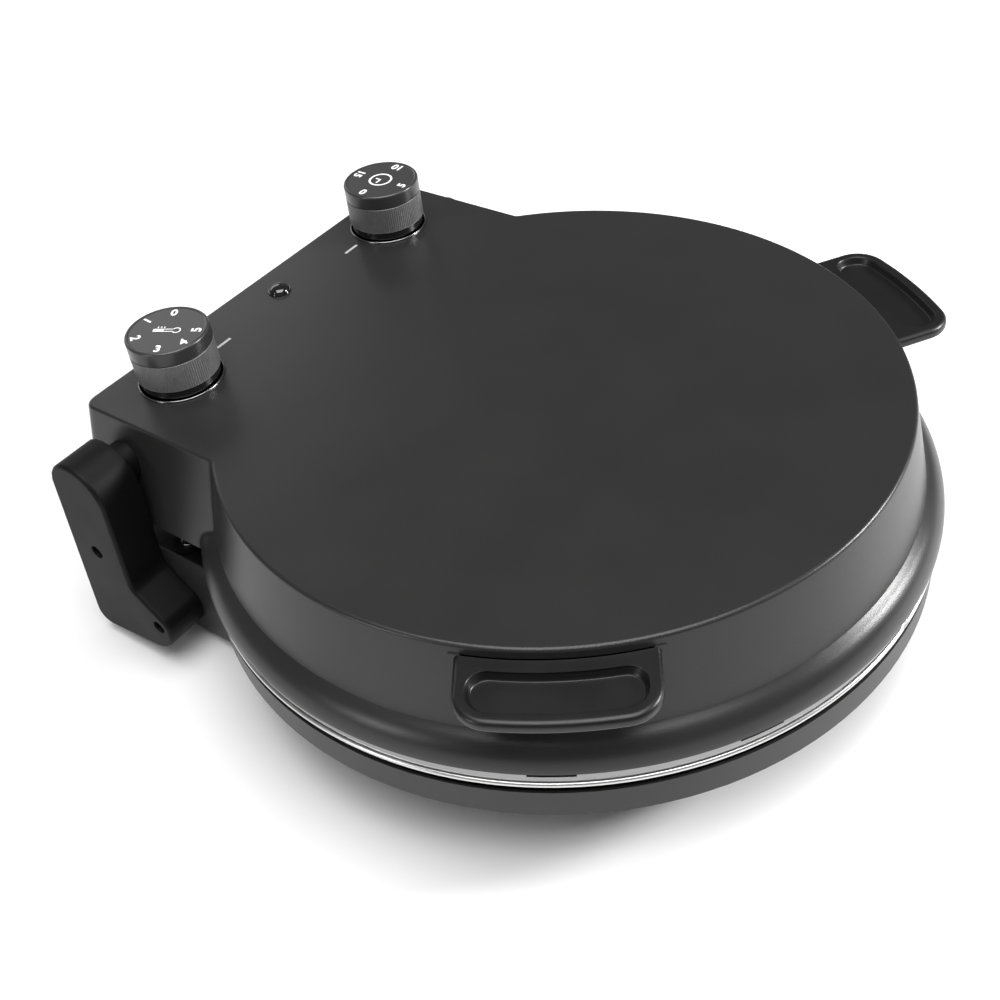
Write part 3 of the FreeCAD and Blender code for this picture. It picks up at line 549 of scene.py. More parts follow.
def show(name: str, data: bpy.types.ID) -> bpy.types.Object:
    """Puts a mesh, curve, light or camera into the scene as a new object."""
    piece = bpy.data.objects.new(name, data)
    bpy.context.scene.collection.objects.link(piece)
    return piece


def quarter_round(radius: float, steps: int) -> Outline:
    """Points of a quarter circle between (radius, 0) and (0, radius), measured from its outer corner."""
    turns = [math.pi / 2 * step / steps for step in range(steps + 1)]
    return [(radius * (1 - math.sin(turn)), radius * (1 - math.cos(turn))) for turn in turns]


def close_ends(mesh: bmesh.types.BMesh, rows: list[list]) -> None:
    """Closes a run of loops with a face at each end."""
    mesh.faces.new(rows[0])
    mesh.faces.new(rows[-1])


def mirrored(points: Outline) -> Outline:
    """The same stretch of an outline on the other side, walked the other way."""
    return [(-x, y) for x, y in reversed(points)]


def weigh_normals(piece: bpy.types.Object) -> None:
    """Lets large flat faces set the normals at rounded edges."""
    modifier = piece.modifiers.new("normals", "WEIGHTED_NORMAL")
    modifier.keep_sharp = True
    modifier.weight = 100


def revolve(
    name: str,
    profile: Outline,
    centre: Point,
    segments: int = 128,
    wave: Optional[Callable[[float, float], float]] = None,
) -> bpy.types.Object:
    """Turns an (r, z) profile in millimetres about an upright axis.

    Args:
        name: the object's name.
        profile: its points, from one end to the other.
        centre: where the axis stands, in metres.
        segments: how many steps make the turn.
        wave: how far the skin moves out at an angle and height, in millimetres.

    Returns:
        The object.
    """
    mesh = bmesh.new()
    loops = []
    for radius, height in profile:
        loop = []
        for index in range(segments):
            turn = 2 * math.pi * index / segments
            reach = radius + (wave(turn, height) if wave else 0.0)
            loop.append(Vector((
                centre[0] + reach * MM * math.cos(turn), centre[1] + reach * MM * math.sin(turn), height * MM
            )))
        loops.append(loop)
    rows = bridge(mesh, loops)
    for row, (radius, _) in ((rows[0], profile[0]), (rows[-1], profile[-1])):
        if radius > 0.01:
            mesh.faces.new(row)
    return to_object(name, mesh)


def thick_line(
    name: str, path: Outline, width: float, low: float, height: float
) -> bpy.types.Object:
    """A flat printed stroke with round ends, in metres.

    Args:
        name: the object's name.
        path: the points of its middle line.
        width: how wide it is.
        low: the level of its underside.
        height: how thick it is.

    Returns:
        The object.
    """
    curve = bpy.data.curves.new(name, "CURVE")
    curve.dimensions = "3D"
    spline = curve.splines.new("POLY")
    spline.points.add(len(path) - 1)
    for point, (x, y) in zip(spline.points, path):
        point.co = (x, y, low + height / 2, 1.0)
    curve.bevel_depth = width / 2
    curve.bevel_resolution = 4
    curve.use_fill_caps = True
    piece = show(name, curve)
    flat = mesh_copy(name, piece)
    bpy.data.objects.remove(piece)
    half_way = low + height / 2
    for vertex in flat.data.vertices:
        vertex.co.z = half_way + (vertex.co.z - half_way) * height / width
    return flat


def mesh_copy(name: str, source: bpy.types.Object) -> bpy.types.Object:
    """An object's final mesh as a new object.

    Args:
        name: the new object's name.
        source: the object that is read, a curve or text too.

    Returns:
        The new object, linked to the scene.
    """
    bpy.context.view_layer.update()
    graph = bpy.context.evaluated_depsgraph_get()
    data = bpy.data.meshes.new_from_object(source.evaluated_get(graph))
    data.name = name
    data.transform(source.matrix_world)
    return show(name, data)


def join(name: str, pieces: list[bpy.types.Object]) -> bpy.types.Object:
    """Joins mesh objects into one, keeping each one's materials.

    Args:
        name: the joined object's name.
        pieces: what is joined; they are removed.

    Returns:
        The joined object.
    """
    mesh = bmesh.new()
    materials: list[bpy.types.Material] = []
    for piece in pieces:
        slots = []
        for material in piece.data.materials:
            if material not in materials:
                materials.append(material)
            slots.append(materials.index(material))
        before = len(mesh.faces)
        mesh.from_mesh(piece.data)
        mesh.faces.ensure_lookup_table()
        for face in mesh.faces[before:]:
            face.material_index = slots[face.material_index] if slots else 0
    data = bpy.data.meshes.new(name)
    mesh.to_mesh(data)
    mesh.free()
    for material in materials:
        data.materials.append(material)
    for piece in pieces:
        bpy.data.objects.remove(piece)
    return show(name, data)


def islands(node: str) -> list[tuple[Vector, Vector]]:
    """The boxes of a CAD node's separate solids.

    Args:
        node: the node's name.

    Returns:
        The lowest and highest corner of each.
    """
    mesh = bmesh.new()
    mesh.from_mesh(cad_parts[node].data)
    bmesh.ops.remove_doubles(mesh, verts=mesh.verts, dist=1e-6)
    seen: set = set()
    boxes = []
    for start in mesh.verts:
        if start in seen:
            continue
        low, high = start.co.copy(), start.co.copy()
        queue = [start]
        seen.add(start)
        while queue:
            vertex = queue.pop()
            low = Vector(map(min, low, vertex.co))
            high = Vector(map(max, high, vertex.co))
            for edge in vertex.link_edges:
                other = edge.other_vert(vertex)
                if other not in seen:
                    seen.add(other)
                    queue.append(other)
        boxes.append((low, high))
    mesh.free()
    return boxes


def middle(box: tuple[Vector, Vector]) -> Vector:
    """The middle of a box."""
    return (box[0] + box[1]) / 2


# ------------------------------------------------------------------ camera and light

@dataclass(frozen=True)
class SoftBox:
    """One soft light: where it stands, its width and height, and its power."""

    name: str
    place: tuple[float, float, float]
    size: tuple[float, float]
    watts: float

    def hang(self, aim: Vector) -> None:
        """Adds the light, facing a point."""
        data = bpy.data.lights.new(self.name, "AREA")
        data.shape = "RECTANGLE"
        data.size, data.size_y = self.size
        data.energy = self.watts
        lamp = show(self.name, data)
        lamp.location = self.place
        lamp.rotation_mode = "QUATERNION"
        lamp.rotation_quaternion = (Vector(self.place) - aim).to_track_quat("Z", "Y")


SOFT_BOXES = (
    SoftBox("overhead", (-0.3, -0.3, 2.3), (2.0, 2.0), 80.0),
    SoftBox("front_right", (1.2, -1.5, 1.0), (0.4, 0.4), 52.0),
    SoftBox("left", (-1.7, 0.5, 0.7), (0.25, 0.5), 6.0),
    SoftBox("back", (0.6, 1.9, 1.0), (1.6, 0.6), 5.0),
)


@dataclass
class Studio:
    """The camera, the floor and the soft lights."""

    azimuth: float = -49.26
    elevation: float = 41.83
    roll: float = -7.64
    distance: float = 0.55078
    lens: float = 45.89
    shift_right: float = 0.02396
    shift_up: float = 0.04922
    sensor: float = 36.0
    ambient: float = 0.18
    floor_half: float = 6.0

    def shoot(self, target: Vector) -> None:
        """Places the camera.

        Args:
            target: the point that it circles.
        """
        az, el, roll = (math.radians(angle) for angle in (self.azimuth, self.elevation, self.roll))
        back = Vector((math.sin(az) * math.cos(el), -math.cos(az) * math.cos(el), math.sin(el)))
        level = Vector((math.cos(az), math.sin(az), 0.0))
        above = back.cross(level)
        right = level * math.cos(roll) + above * math.sin(roll)
        up = above * math.cos(roll) - level * math.sin(roll)
        data = bpy.data.cameras.new("camera")
        data.lens, data.sensor_width = self.lens, self.sensor
        data.clip_start, data.clip_end = 0.01, 20.0
        camera = show("camera", data)
        place = target + back * self.distance - right * self.shift_right - up * self.shift_up
        turn = Matrix((right, up, back)).transposed().to_4x4()
        camera.matrix_world = Matrix.Translation(place) @ turn
        bpy.context.scene.camera = camera

    def lay_floor(self, palette: Palette) -> None:
        """Lays a wide pale floor with a slight sheen."""
        mesh = bmesh.new()
        bmesh.ops.create_grid(mesh, x_segments=8, y_segments=8, size=self.floor_half)
        floor = to_object("floor", mesh)
        graph = Graph("pale_floor")
        cloud = graph.noise(600.0, 1.0)
        tint = graph.blend(cloud, grey(0.76), grey(0.79))
        floor.data.materials.append(graph.finish(Base_Color=tint, Roughness=0.6))

    def build(self, palette: Palette, target: Vector) -> None:
        """Sets up the whole studio."""
        self.shoot(target)
        self.lay_floor(palette)
        world = bpy.data.worlds.new("studio")
        world.use_nodes = True
        background = world.node_tree.nodes["Background"]
        background.inputs["Color"].default_value = (1.0, 1.0, 1.0, 1.0)
        background.inputs["Strength"].default_value = self.ambient
        bpy.context.scene.world = world
        bpy.context.scene.view_settings.view_transform = "Standard"
        for box in SOFT_BOXES:
            box.hang(target)


# ------------------------------------------------------------------ the lid

@dataclass
class LidShell:
    """The pressed lid: a round dish and the control box behind it, in one skin."""

    top_radius: float = 150.0
    cove_radius: float = 157.6
    lip_radius: float = 166.4
    bead_round: float = 14.0
    bead_height: float = 13.0
    edge_round: float = 1.5
    cove_round: float = 1.6
    box_half: float = 112.0
    box_flare: float = 10.0
    box_reach: float = 182.6
    box_rear_flare: float = 4.4
    box_corner: float = 6.0
    rear_bevel: float = 11.4
    junction: float = 0.8
    skin: float = 1.2
    plain_wall: float = 5.0
    mark_near: float = 24.2
    mark_far: float = 33.2
    mark_back: float = 1.4
    mark_width: float = 1.5
    mark_height: float = 0.16
    steps: int = 900
    axis: Point = field(init=False)
    low: float = field(init=False)
    top: float = field(init=False)

    def __post_init__(self) -> None:
        """Reads the levels from the CAD shell."""
        low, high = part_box("lid_shell")
        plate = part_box("upper_plate")
        self.axis = (middle(plate).x, middle(plate).y)
        self.low, self.top = low.z / MM, high.z / MM

    def disc_radius(self, level: float) -> float:
        """Radius of the round part at a level, with its cove, bead and rounded top edge.

        Args:
            level: the height, in millimetres.

        Returns:
            The radius, in millimetres.
        """
        cove_level = self.low + self.bead_height
        slope = (self.cove_radius - self.top_radius) / (self.top - cove_level)
        wall = self.top_radius + (self.top - level) * slope
        bead_centre = self.lip_radius - self.bead_round
        rise = min(max(level - self.low, 0.0), self.bead_round)
        bead = bead_centre + math.sqrt(self.bead_round ** 2 - rise ** 2)
        return smooth_max(wall, bead, self.cove_round) if level < self.low + self.bead_round else wall

    def box_radius(self, angle: float, level: float, corner: float) -> float:
        """Distance from the axis to the control box's outline.

        Args:
            angle: the direction, in radians.
            level: the height, in millimetres.
            corner: the radius of the two rear corners.

        Returns:
            The distance, or 0 where the box isn't.
        """
        share = (self.top - level) / (self.top - self.low)
        half = self.box_half + self.box_flare * share
        reach = self.box_reach + self.box_rear_flare * share
        foot = self.box_reach + self.box_rear_flare
        reach = min(reach, foot - self.rear_bevel + level - self.low)
        across, along = abs(math.cos(angle)), math.sin(angle)
        if along <= 0.0:
            return 0.0
        side = half / max(across, 1e-6)
        rear = reach / along
        distance = min(side, rear)
        centre = Vector((half - corner, reach - corner))
        heading = Vector((across, along))
        near = heading.dot(centre)
        gap = centre.length_squared - near * near
        if gap < corner * corner:
            rounded = near + math.sqrt(corner * corner - gap)
            point = heading * rounded
            if point.x >= centre.x and point.y >= centre.y:
                distance = rounded
        return distance

    def outline(self, level: float, inset: float) -> list[float]:
        """The skin's distance from the axis in each direction.

        Args:
            level: the height, in millimetres.
            inset: how far it is moved in.

        Returns:
            The distances, in millimetres.
        """
        reaches = []
        for index in range(self.steps):
            angle = 2 * math.pi * index / self.steps
            disc = self.disc_radius(level)
            box = self.box_radius(angle, level, self.box_corner)
            reaches.append(smooth_max(disc, box, self.junction) - inset)
        return reaches

    def levels(self) -> Outline:
        """The skin's levels from the top edge down to the lip, each with how far it is moved in."""
        listed = [(self.top - drop, inset) for inset, drop in quarter_round(self.edge_round, 6)]
        wall_low = self.low + self.bead_height + self.plain_wall
        walls = 10
        for step in range(1, walls + 1):
            start = self.top - self.edge_round
            listed.append((start + (wall_low - start) * step / walls, 0.0))
        beads = 26
        for step in range(1, beads + 1):
            turn = math.pi / 2 * step / beads
            listed.append((self.low + (wall_low - self.low) * math.cos(turn), 0.0))
        return listed

    def loop(self, level: float, inset: float) -> Loop:
        """One ring of the skin as points in metres."""
        points = []
        for index, reach in enumerate(self.outline(level, inset)):
            angle = 2 * math.pi * index / self.steps
            points.append(Vector((
                self.axis[0] + reach * MM * math.cos(angle),
                self.axis[1] + reach * MM * math.sin(angle),
                level * MM,
            )))
        return points

    def build(self, palette: Palette) -> bpy.types.Object:
        """Builds the skin, its lip and its inside.

        Args:
            palette: the finishes.

        Returns:
            The lid.
        """
        mesh = bmesh.new()
        outside = self.levels()
        loops = [self.loop(self.top, self.edge_round + 3.0)]
        loops += [self.loop(level, inset) for level, inset in outside]
        loops.append(self.loop(self.low, self.skin))
        for level, _ in reversed(outside[8:]):
            loops.append(self.loop(max(level, self.low + 0.2), self.skin))
        loops.append(self.loop(self.top - self.skin, self.skin + self.edge_round))
        rows = bridge(mesh, loops)
        close_ends(mesh, rows)
        shell = to_object("lid_skin", mesh, 32.0)
        weigh_normals(shell)
        palette.dress(shell, Finish.COAT)
        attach(shell, "lid")
        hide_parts("lid_shell")
        return shell

    def print_marks(self, palette: Palette) -> None:
        """Prints the two index strokes beside the dials."""
        for side, turning in (("left", "thermostat_knob"), ("right", "timer_knob")):
            knob = middle(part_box(turning))
            sign = math.copysign(1.0, knob.x)
            back = knob.y + self.mark_back * MM
            path = [(knob.x - sign * reach * MM, back) for reach in (self.mark_near, self.mark_far)]
            low = self.top * MM - PRINT_SINK * MM
            stroke = thick_line(f"{side}_index_mark", path, self.mark_width * MM, low, self.mark_height * MM)
            palette.dress(stroke, Finish.MARK)
            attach(stroke, "lid")


def smooth_max(first: float, second: float, blend: float) -> float:
    """The larger of two lengths, with the corner between them filled in.

    Args:
        first: a length.
        second: another length.
        blend: how far apart they may be and still blend.

    Returns:
        The blended length.
    """
    near = max(blend - abs(first - second), 0.0) / blend
    return max(first, second) + near * near * blend / 4


# ------------------------------------------------------------------ knobs

class Dial(Enum):
    """What the two knobs show."""

    THERMOSTAT = "thermostat"
    TIMER = "timer"


DIAL_NUMBERS: dict[Dial, list[tuple[str, float]]] = {
    Dial.THERMOSTAT: [("0", 32.0), ("1", 85.0), ("2", 143.0), ("3", 210.0), ("4", 258.0), ("5", 299.0)],
    Dial.TIMER: [("0", 180.0), ("5", 270.0), ("10", 0.0), ("15", 90.0)],
}


@dataclass
class Knob:
    """A round knob: gloss skirt, knurled grip, smooth band and printed face."""

    dial: Dial
    numbers: list[tuple[str, float]]
    number_circle: float = 14.2
    number_size: float = 6.4
    flutes: int = 110
    flute_depth: float = 0.16
    groove: float = 0.5
    bore: float = 3.4
    skirt_height: float = 4.0
    skirt_inset: float = 0.7
    face_sink: float = 0.3
    stroke_height: float = 0.14

    def names(self) -> tuple[str, str, str]:
        """The knob's node, its cap's node and its body."""
        kind = self.dial.value
        return f"{kind}_knob", f"{kind}_knob_cap", f"{kind}_dial"

    def build(self, palette: Palette) -> None:
        """Builds the knob and its print.

        Args:
            palette: the finishes.
        """
        knob_node, cap_node, body = self.names()
        low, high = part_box(knob_node)
        cap_low, cap_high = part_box(cap_node)
        axis = (middle((low, high)).x, middle((low, high)).y)
        radius = (high.x - low.x) / 2 / MM
        foot, grip_top, top = low.z / MM, cap_low.z / MM, cap_high.z / MM
        skirt_top = foot + self.skirt_height
        skirt_radius = radius - self.skirt_inset
        face = top - self.face_sink
        skirt = revolve(
            f"{knob_node}_skirt",
            [(self.bore, foot), (skirt_radius - 0.4, foot), (skirt_radius, foot + 0.4),
             (skirt_radius, skirt_top - 0.3), (skirt_radius - 0.3, skirt_top)],
            axis,
        )
        palette.dress(skirt, Finish.SKIRT)

        def flute(turn: float, height: float) -> float:
            """How far the knurled skin stands in at an angle."""
            inside = skirt_top + 0.5 < height < grip_top - 0.3
            return -self.flute_depth * (0.5 + 0.5 * math.cos(turn * self.flutes)) if inside else 0.0

        grip = revolve(
            f"{knob_node}_grip",
            [(skirt_radius - 0.6, skirt_top), (radius - 0.35, skirt_top), (radius, skirt_top + 0.4),
             (radius, skirt_top + 0.55), (radius, grip_top - 0.4), (radius, grip_top - 0.25),
             (radius - self.groove * 0.4, grip_top - 0.02)],
            axis,
            self.flutes * 6,
            flute,
        )
        palette.dress(grip, Finish.GRIP)
        band = revolve(
            f"{knob_node}_band",
            [(radius - self.groove, grip_top - 0.05), (radius - self.groove, grip_top + 0.25),
             (radius - 0.1, grip_top + 0.35), (radius, grip_top + 0.55),
             (radius, top - 1.1), (radius - 0.15, top - 0.6), (radius - 0.5, top - 0.2),
             (radius - 1.0, top), (radius - 1.35, top), (radius - 1.7, top - 0.25),
             (radius - 2.1, face), (0.02, face)],
            axis,
            192,
        )
        palette.dress(band, Finish.CAP)
        prints = self.printed(palette, axis, face)
        knob = join(f"{self.dial.value}_knob_detailed", [skirt, grip, band, *prints])
        weigh_normals(knob)
        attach(knob, body)
        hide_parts(knob_node, cap_node)

    def glyph(
        self, palette: Palette, text: str, angle: float, axis: Point, level: float
    ) -> bpy.types.Object:
        """One printed number whose top points at the axis.

        Args:
            palette: the finishes.
            text: the number.
            angle: its direction from the axis, in degrees.
            axis: where the knob's axis stands, in metres.
            level: the face's level, in millimetres.

        Returns:
            The number.
        """
        curve = bpy.data.curves.new(f"{self.dial.value}_number_{text}", "FONT")
        curve.body = text
        curve.size = self.number_size * MM
        curve.align_x = "CENTER"
        curve.align_y = "CENTER"
        curve.extrude = PRINT_SINK * MM
        curve.offset = 0.20 * MM
        curve.resolution_u = 6
        holder = show(curve.name, curve)
        turn = math.radians(angle)
        reach = self.number_circle * MM
        place = (axis[0] + reach * math.cos(turn), axis[1] + reach * math.sin(turn), level * MM)
        holder.matrix_world = Matrix.Translation(place) @ Matrix.Rotation(turn + math.pi / 2, 4, "Z")
        printed = mesh_copy(f"{curve.name}_print", holder)
        bpy.data.objects.remove(holder)
        palette.dress(printed, Finish.INK)
        return printed

    def printed(self, palette: Palette, axis: Point, level: float) -> list[bpy.types.Object]:
        """The numbers and the picture on the face.

        Args:
            palette: the finishes.
            axis: where the knob's axis stands, in metres.
            level: the face's level, in millimetres.

        Returns:
            The printed pieces.
        """
        pieces = [self.glyph(palette, text, angle, axis, level) for text, angle in self.numbers]
        strokes = self.thermometer() if self.dial is Dial.THERMOSTAT else self.clock()
        for index, (points, width) in enumerate(strokes):
            path = [(axis[0] + x * MM, axis[1] + y * MM) for x, y in points]
            name = f"{self.dial.value}_picture_{index}"
            stroke = thick_line(name, path, width * MM, (level - PRINT_SINK) * MM, self.stroke_height * MM)
            palette.dress(stroke, Finish.INK)
            pieces.append(stroke)
        return pieces

    def thermometer(self) -> list[tuple[Outline, float]]:
        """The strokes of a small thermometer, lying along one direction."""
        turn = math.radians(-62.0)
        ahead = Vector((math.cos(turn), math.sin(turn)))
        aside = Vector((-ahead.y, ahead.x))

        def at(forward: float, sideways: float) -> tuple[float, float]:
            """A point of the picture."""
            point = ahead * forward + aside * sideways
            return (point.x, point.y)

        thin, bold, filled = 0.5, 0.6, 1.9
        mercury = [at(-6.4, 0.0), at(-1.4, 0.0)]
        sides = [([at(-6.0, side), at(2.9, side)], thin) for side in (-0.85, 0.85)]
        bulb = [at(4.6 + x, y) for x, y in arc_points((0.0, 0.0), 1.8, -150.0, 150.0, 20)]
        ticks = [([at(along, 1.7), at(along, 2.8)], thin) for along in (-4.6, -3.1, -1.6)]
        return [(mercury, filled), (bulb, bold)] + sides + ticks

    def clock(self) -> list[tuple[Outline, float]]:
        """The strokes of a small clock face."""
        ring_stroke, hand_stroke = 1.1, 1.0
        ring = arc_points((0.0, 0.0), 5.6, 0.0, 360.0, 48)
        hands = [(0.0, 2.9), (0.0, 0.0), (-3.6, 0.0)]
        return [(ring, ring_stroke), (hands, hand_stroke)]


@dataclass
class PanelTrim:
    """The chrome rings round the knobs and the lamp's lens."""

    ring_width: float = 1.1
    ring_wall: float = 0.35
    collar: float = 0.8
    collar_width: float = 0.6
    collar_edge: float = 0.25
    lens_wall: float = 1.4

    def build_ring(self, palette: Palette, node: str) -> None:
        """Builds one ring.

        Args:
            palette: the finishes.
            node: the ring's CAD node.
        """
        low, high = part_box(node)
        centre = middle((low, high))
        outer = (high.x - low.x) / 2 / MM
        inner = outer - self.ring_width
        mid, half = (outer + inner) / 2, self.ring_width / 2
        base, height = low.z / MM, (high.z - low.z) / MM
        profile = [(inner, base)]
        for x, z in arc_points((0.0, 0.0), 1.0, 180.0, 0.0, 12):
            profile.append((mid + x * half, base + height * (self.ring_wall + (1 - self.ring_wall) * z)))
        profile.append((outer, base))
        mesh_ring = revolve(f"{node}_detailed", profile, (centre.x, centre.y), 160)
        palette.dress(mesh_ring, Finish.CHROME)
        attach(mesh_ring, "lid")
        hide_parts(node)

    def build_lens(self, palette: Palette) -> None:
        """Builds the lamp's domed lens with its small collar."""
        low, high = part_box("indicator_lens")
        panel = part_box("lid_shell")[1].z / MM
        centre = middle((low, high))
        radius = (high.x - low.x) / 2 / MM
        top = high.z / MM
        neck, rim = radius - self.lens_wall, panel + self.collar
        dome, crown = radius - self.collar_width, top - rim
        profile = [
            (neck, low.z / MM), (neck, panel), (radius, panel), (radius, panel + self.collar * 0.6),
            (radius - self.collar_edge, rim), (dome, rim),
        ]
        for step in range(1, 13):
            turn = math.pi / 2 * step / 12
            profile.append((max(dome * math.cos(turn), 0.02), rim + crown * math.sin(turn)))
        lens = revolve("indicator_lens_domed", profile, (centre.x, centre.y), 96)
        palette.dress(lens, Finish.LENS)
        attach(lens, "lid")
        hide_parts("indicator_lens")

    def build(self, palette: Palette) -> None:
        """Builds the rings and the lens."""
        for node in ("thermostat_bezel", "timer_bezel"):
            self.build_ring(palette, node)
        self.build_lens(palette)


# ------------------------------------------------------------------ handles

@dataclass
class Handle:
    """A tongue handle: a thin tray with a round rim and a sunk, soft-edged dish."""

    side: str
    turn_deg: float
    reach: float = 179.7
    half_width: float = 36.5
    corner: float = 14.0
    thick: float = 5.0
    edge: float = 2.3
    under_edge: float = 1.5
    rear: float = 148.0
    dish_rear: float = 157.0
    rim: float = 5.2
    run: float = 2.3
    dish_corner: float = 7.0
    depth: float = 3.3
    foot_half: float = 27.5
    foot_low: float = 98.2
    foot_reach: float = 157.4
    foot_corner: float = 4.0
    foot_rear: float = 146.0

    def outline(self, inset: float, dish_share: float) -> Outline:
        """The tray's outline, moved in, for a tongue that points to -Y.

        Args:
            inset: how far it is moved in.
            dish_share: 0 for the tray's edge, 1 for the dish, whose rear has round corners.

        Returns:
            Its points, in millimetres.
        """
        front = self.reach - inset
        half = self.half_width - inset
        corner = max(self.corner - inset, 1.5)
        across = half - corner
        along = math.sqrt((front - corner) ** 2 - across ** 2)
        rear = self.rear + (self.dish_rear + max(inset - self.rim, 0.0) - self.rear) * dish_share
        bend = 0.5 + (self.dish_corner - max(inset - self.rim, 0.0) * 0.7 - 0.5) * dish_share
        inside = half - bend
        back = math.sqrt((rear + bend) ** 2 - inside ** 2)
        tilt = math.degrees(math.atan2(-along, across))
        lean = math.degrees(math.atan2(back, -inside))
        far = math.degrees(math.atan2(-back, inside))
        front_edge = arc_points((0.0, 0.0), front, -180.0 - tilt, tilt, 30)
        steps = 4
        right = arc_points((across, -along), corner, tilt, 0.0, 10)[1:]
        right += [(half, -along + (along - back) * step / steps) for step in range(1, steps)]
        right += arc_points((inside, -back), bend, 0.0, lean, 8)
        rear_edge = arc_points((0.0, 0.0), rear, far, -180.0 - far, 30)[1:-1]
        return front_edge + right + rear_edge + mirrored(right)

    def section(self) -> list[tuple[float, float, float]]:
        """The tray's section from its underside to the dish's floor: (moved in, drop, dish share)."""
        listed = [(6.0, self.thick, 0.0)]
        listed += [(inset, self.thick - rise, 0.0) for inset, rise in quarter_round(self.under_edge, 5)]
        listed += [(inset, drop, 0.0) for drop, inset in quarter_round(self.edge, 8)]
        listed.append((self.edge + 0.6, 0.0, 0.35))
        flat = self.edge + 1.2
        brink = flat + (self.rim - flat) * 0.6
        steps = 14
        for step in range(steps + 1):
            share = step / steps
            drop = self.depth * share * share * (3 - 2 * share)
            listed.append((brink + self.run * share, drop, 1.0))
        listed.append((self.rim + self.run + 0.8, self.depth, 1.0))
        return listed

    def build(self, palette: Palette, axis: Point) -> None:
        """Builds the handle.

        Args:
            palette: the finishes.
            axis: where the round plates' axis stands, in metres.
        """
        node = f"{self.side}_handle"
        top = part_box(node)[1].z / MM
        turn = Matrix.Rotation(math.radians(self.turn_deg), 4, "Z")
        shift = Matrix.Translation((axis[0], axis[1], 0.0))
        mesh = bmesh.new()
        loops = []
        for inset, drop, share in self.section():
            loops.append([Vector((x * MM, y * MM, (top - drop) * MM)) for x, y in self.outline(inset, share)])
        rows = bridge(mesh, loops)
        close_ends(mesh, rows)
        self.add_foot(mesh, top)
        bmesh.ops.transform(mesh, matrix=shift @ turn, verts=mesh.verts)
        piece = to_object(f"{node}_tray", mesh, 50.0)
        weigh_normals(piece)
        palette.dress(piece, Finish.HANDLE)
        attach(piece, "lid")
        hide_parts(node)

    def add_foot(self, mesh: bmesh.types.BMesh, top: float) -> None:
        """Adds the foot that seats on the lid's wall below the tray.

        Args:
            mesh: the handle's mesh.
            top: the handle's top level, in millimetres.
        """
        corner = self.foot_corner
        under = top - self.thick + 0.4
        loops = []
        for level, inset in (
            (self.foot_low, 1.0), (self.foot_low + 0.6, 0.3), (self.foot_low + 1.6, 0.0), (under, 0.0)
        ):
            reach, half = self.foot_reach - inset, self.foot_half - inset
            along = math.sqrt((reach - corner) ** 2 - (half - corner) ** 2)
            tilt = math.degrees(math.atan2(-along, half - corner))
            front = arc_points((0.0, 0.0), reach, -180.0 - tilt, tilt, 16)
            right = arc_points((half - corner, -along), corner, tilt, 0.0, 6)[1:] + [(half, -self.foot_rear)]
            points = front + right + mirrored(right)
            loops.append([Vector((x * MM, y * MM, level * MM)) for x, y in points])
        rows = bridge(mesh, loops)
        close_ends(mesh, rows)


HANDLE_TURNS = {"left": -56.2, "right": 56.2}


# ------------------------------------------------------------------ hinge covers

@dataclass(frozen=True)
class Bend:
    """A point of a cover's outline: its place, the heading there and the arc that starts at it."""

    along: float
    level: float
    heading: float
    radius: float = 0.0
    side: int = 0


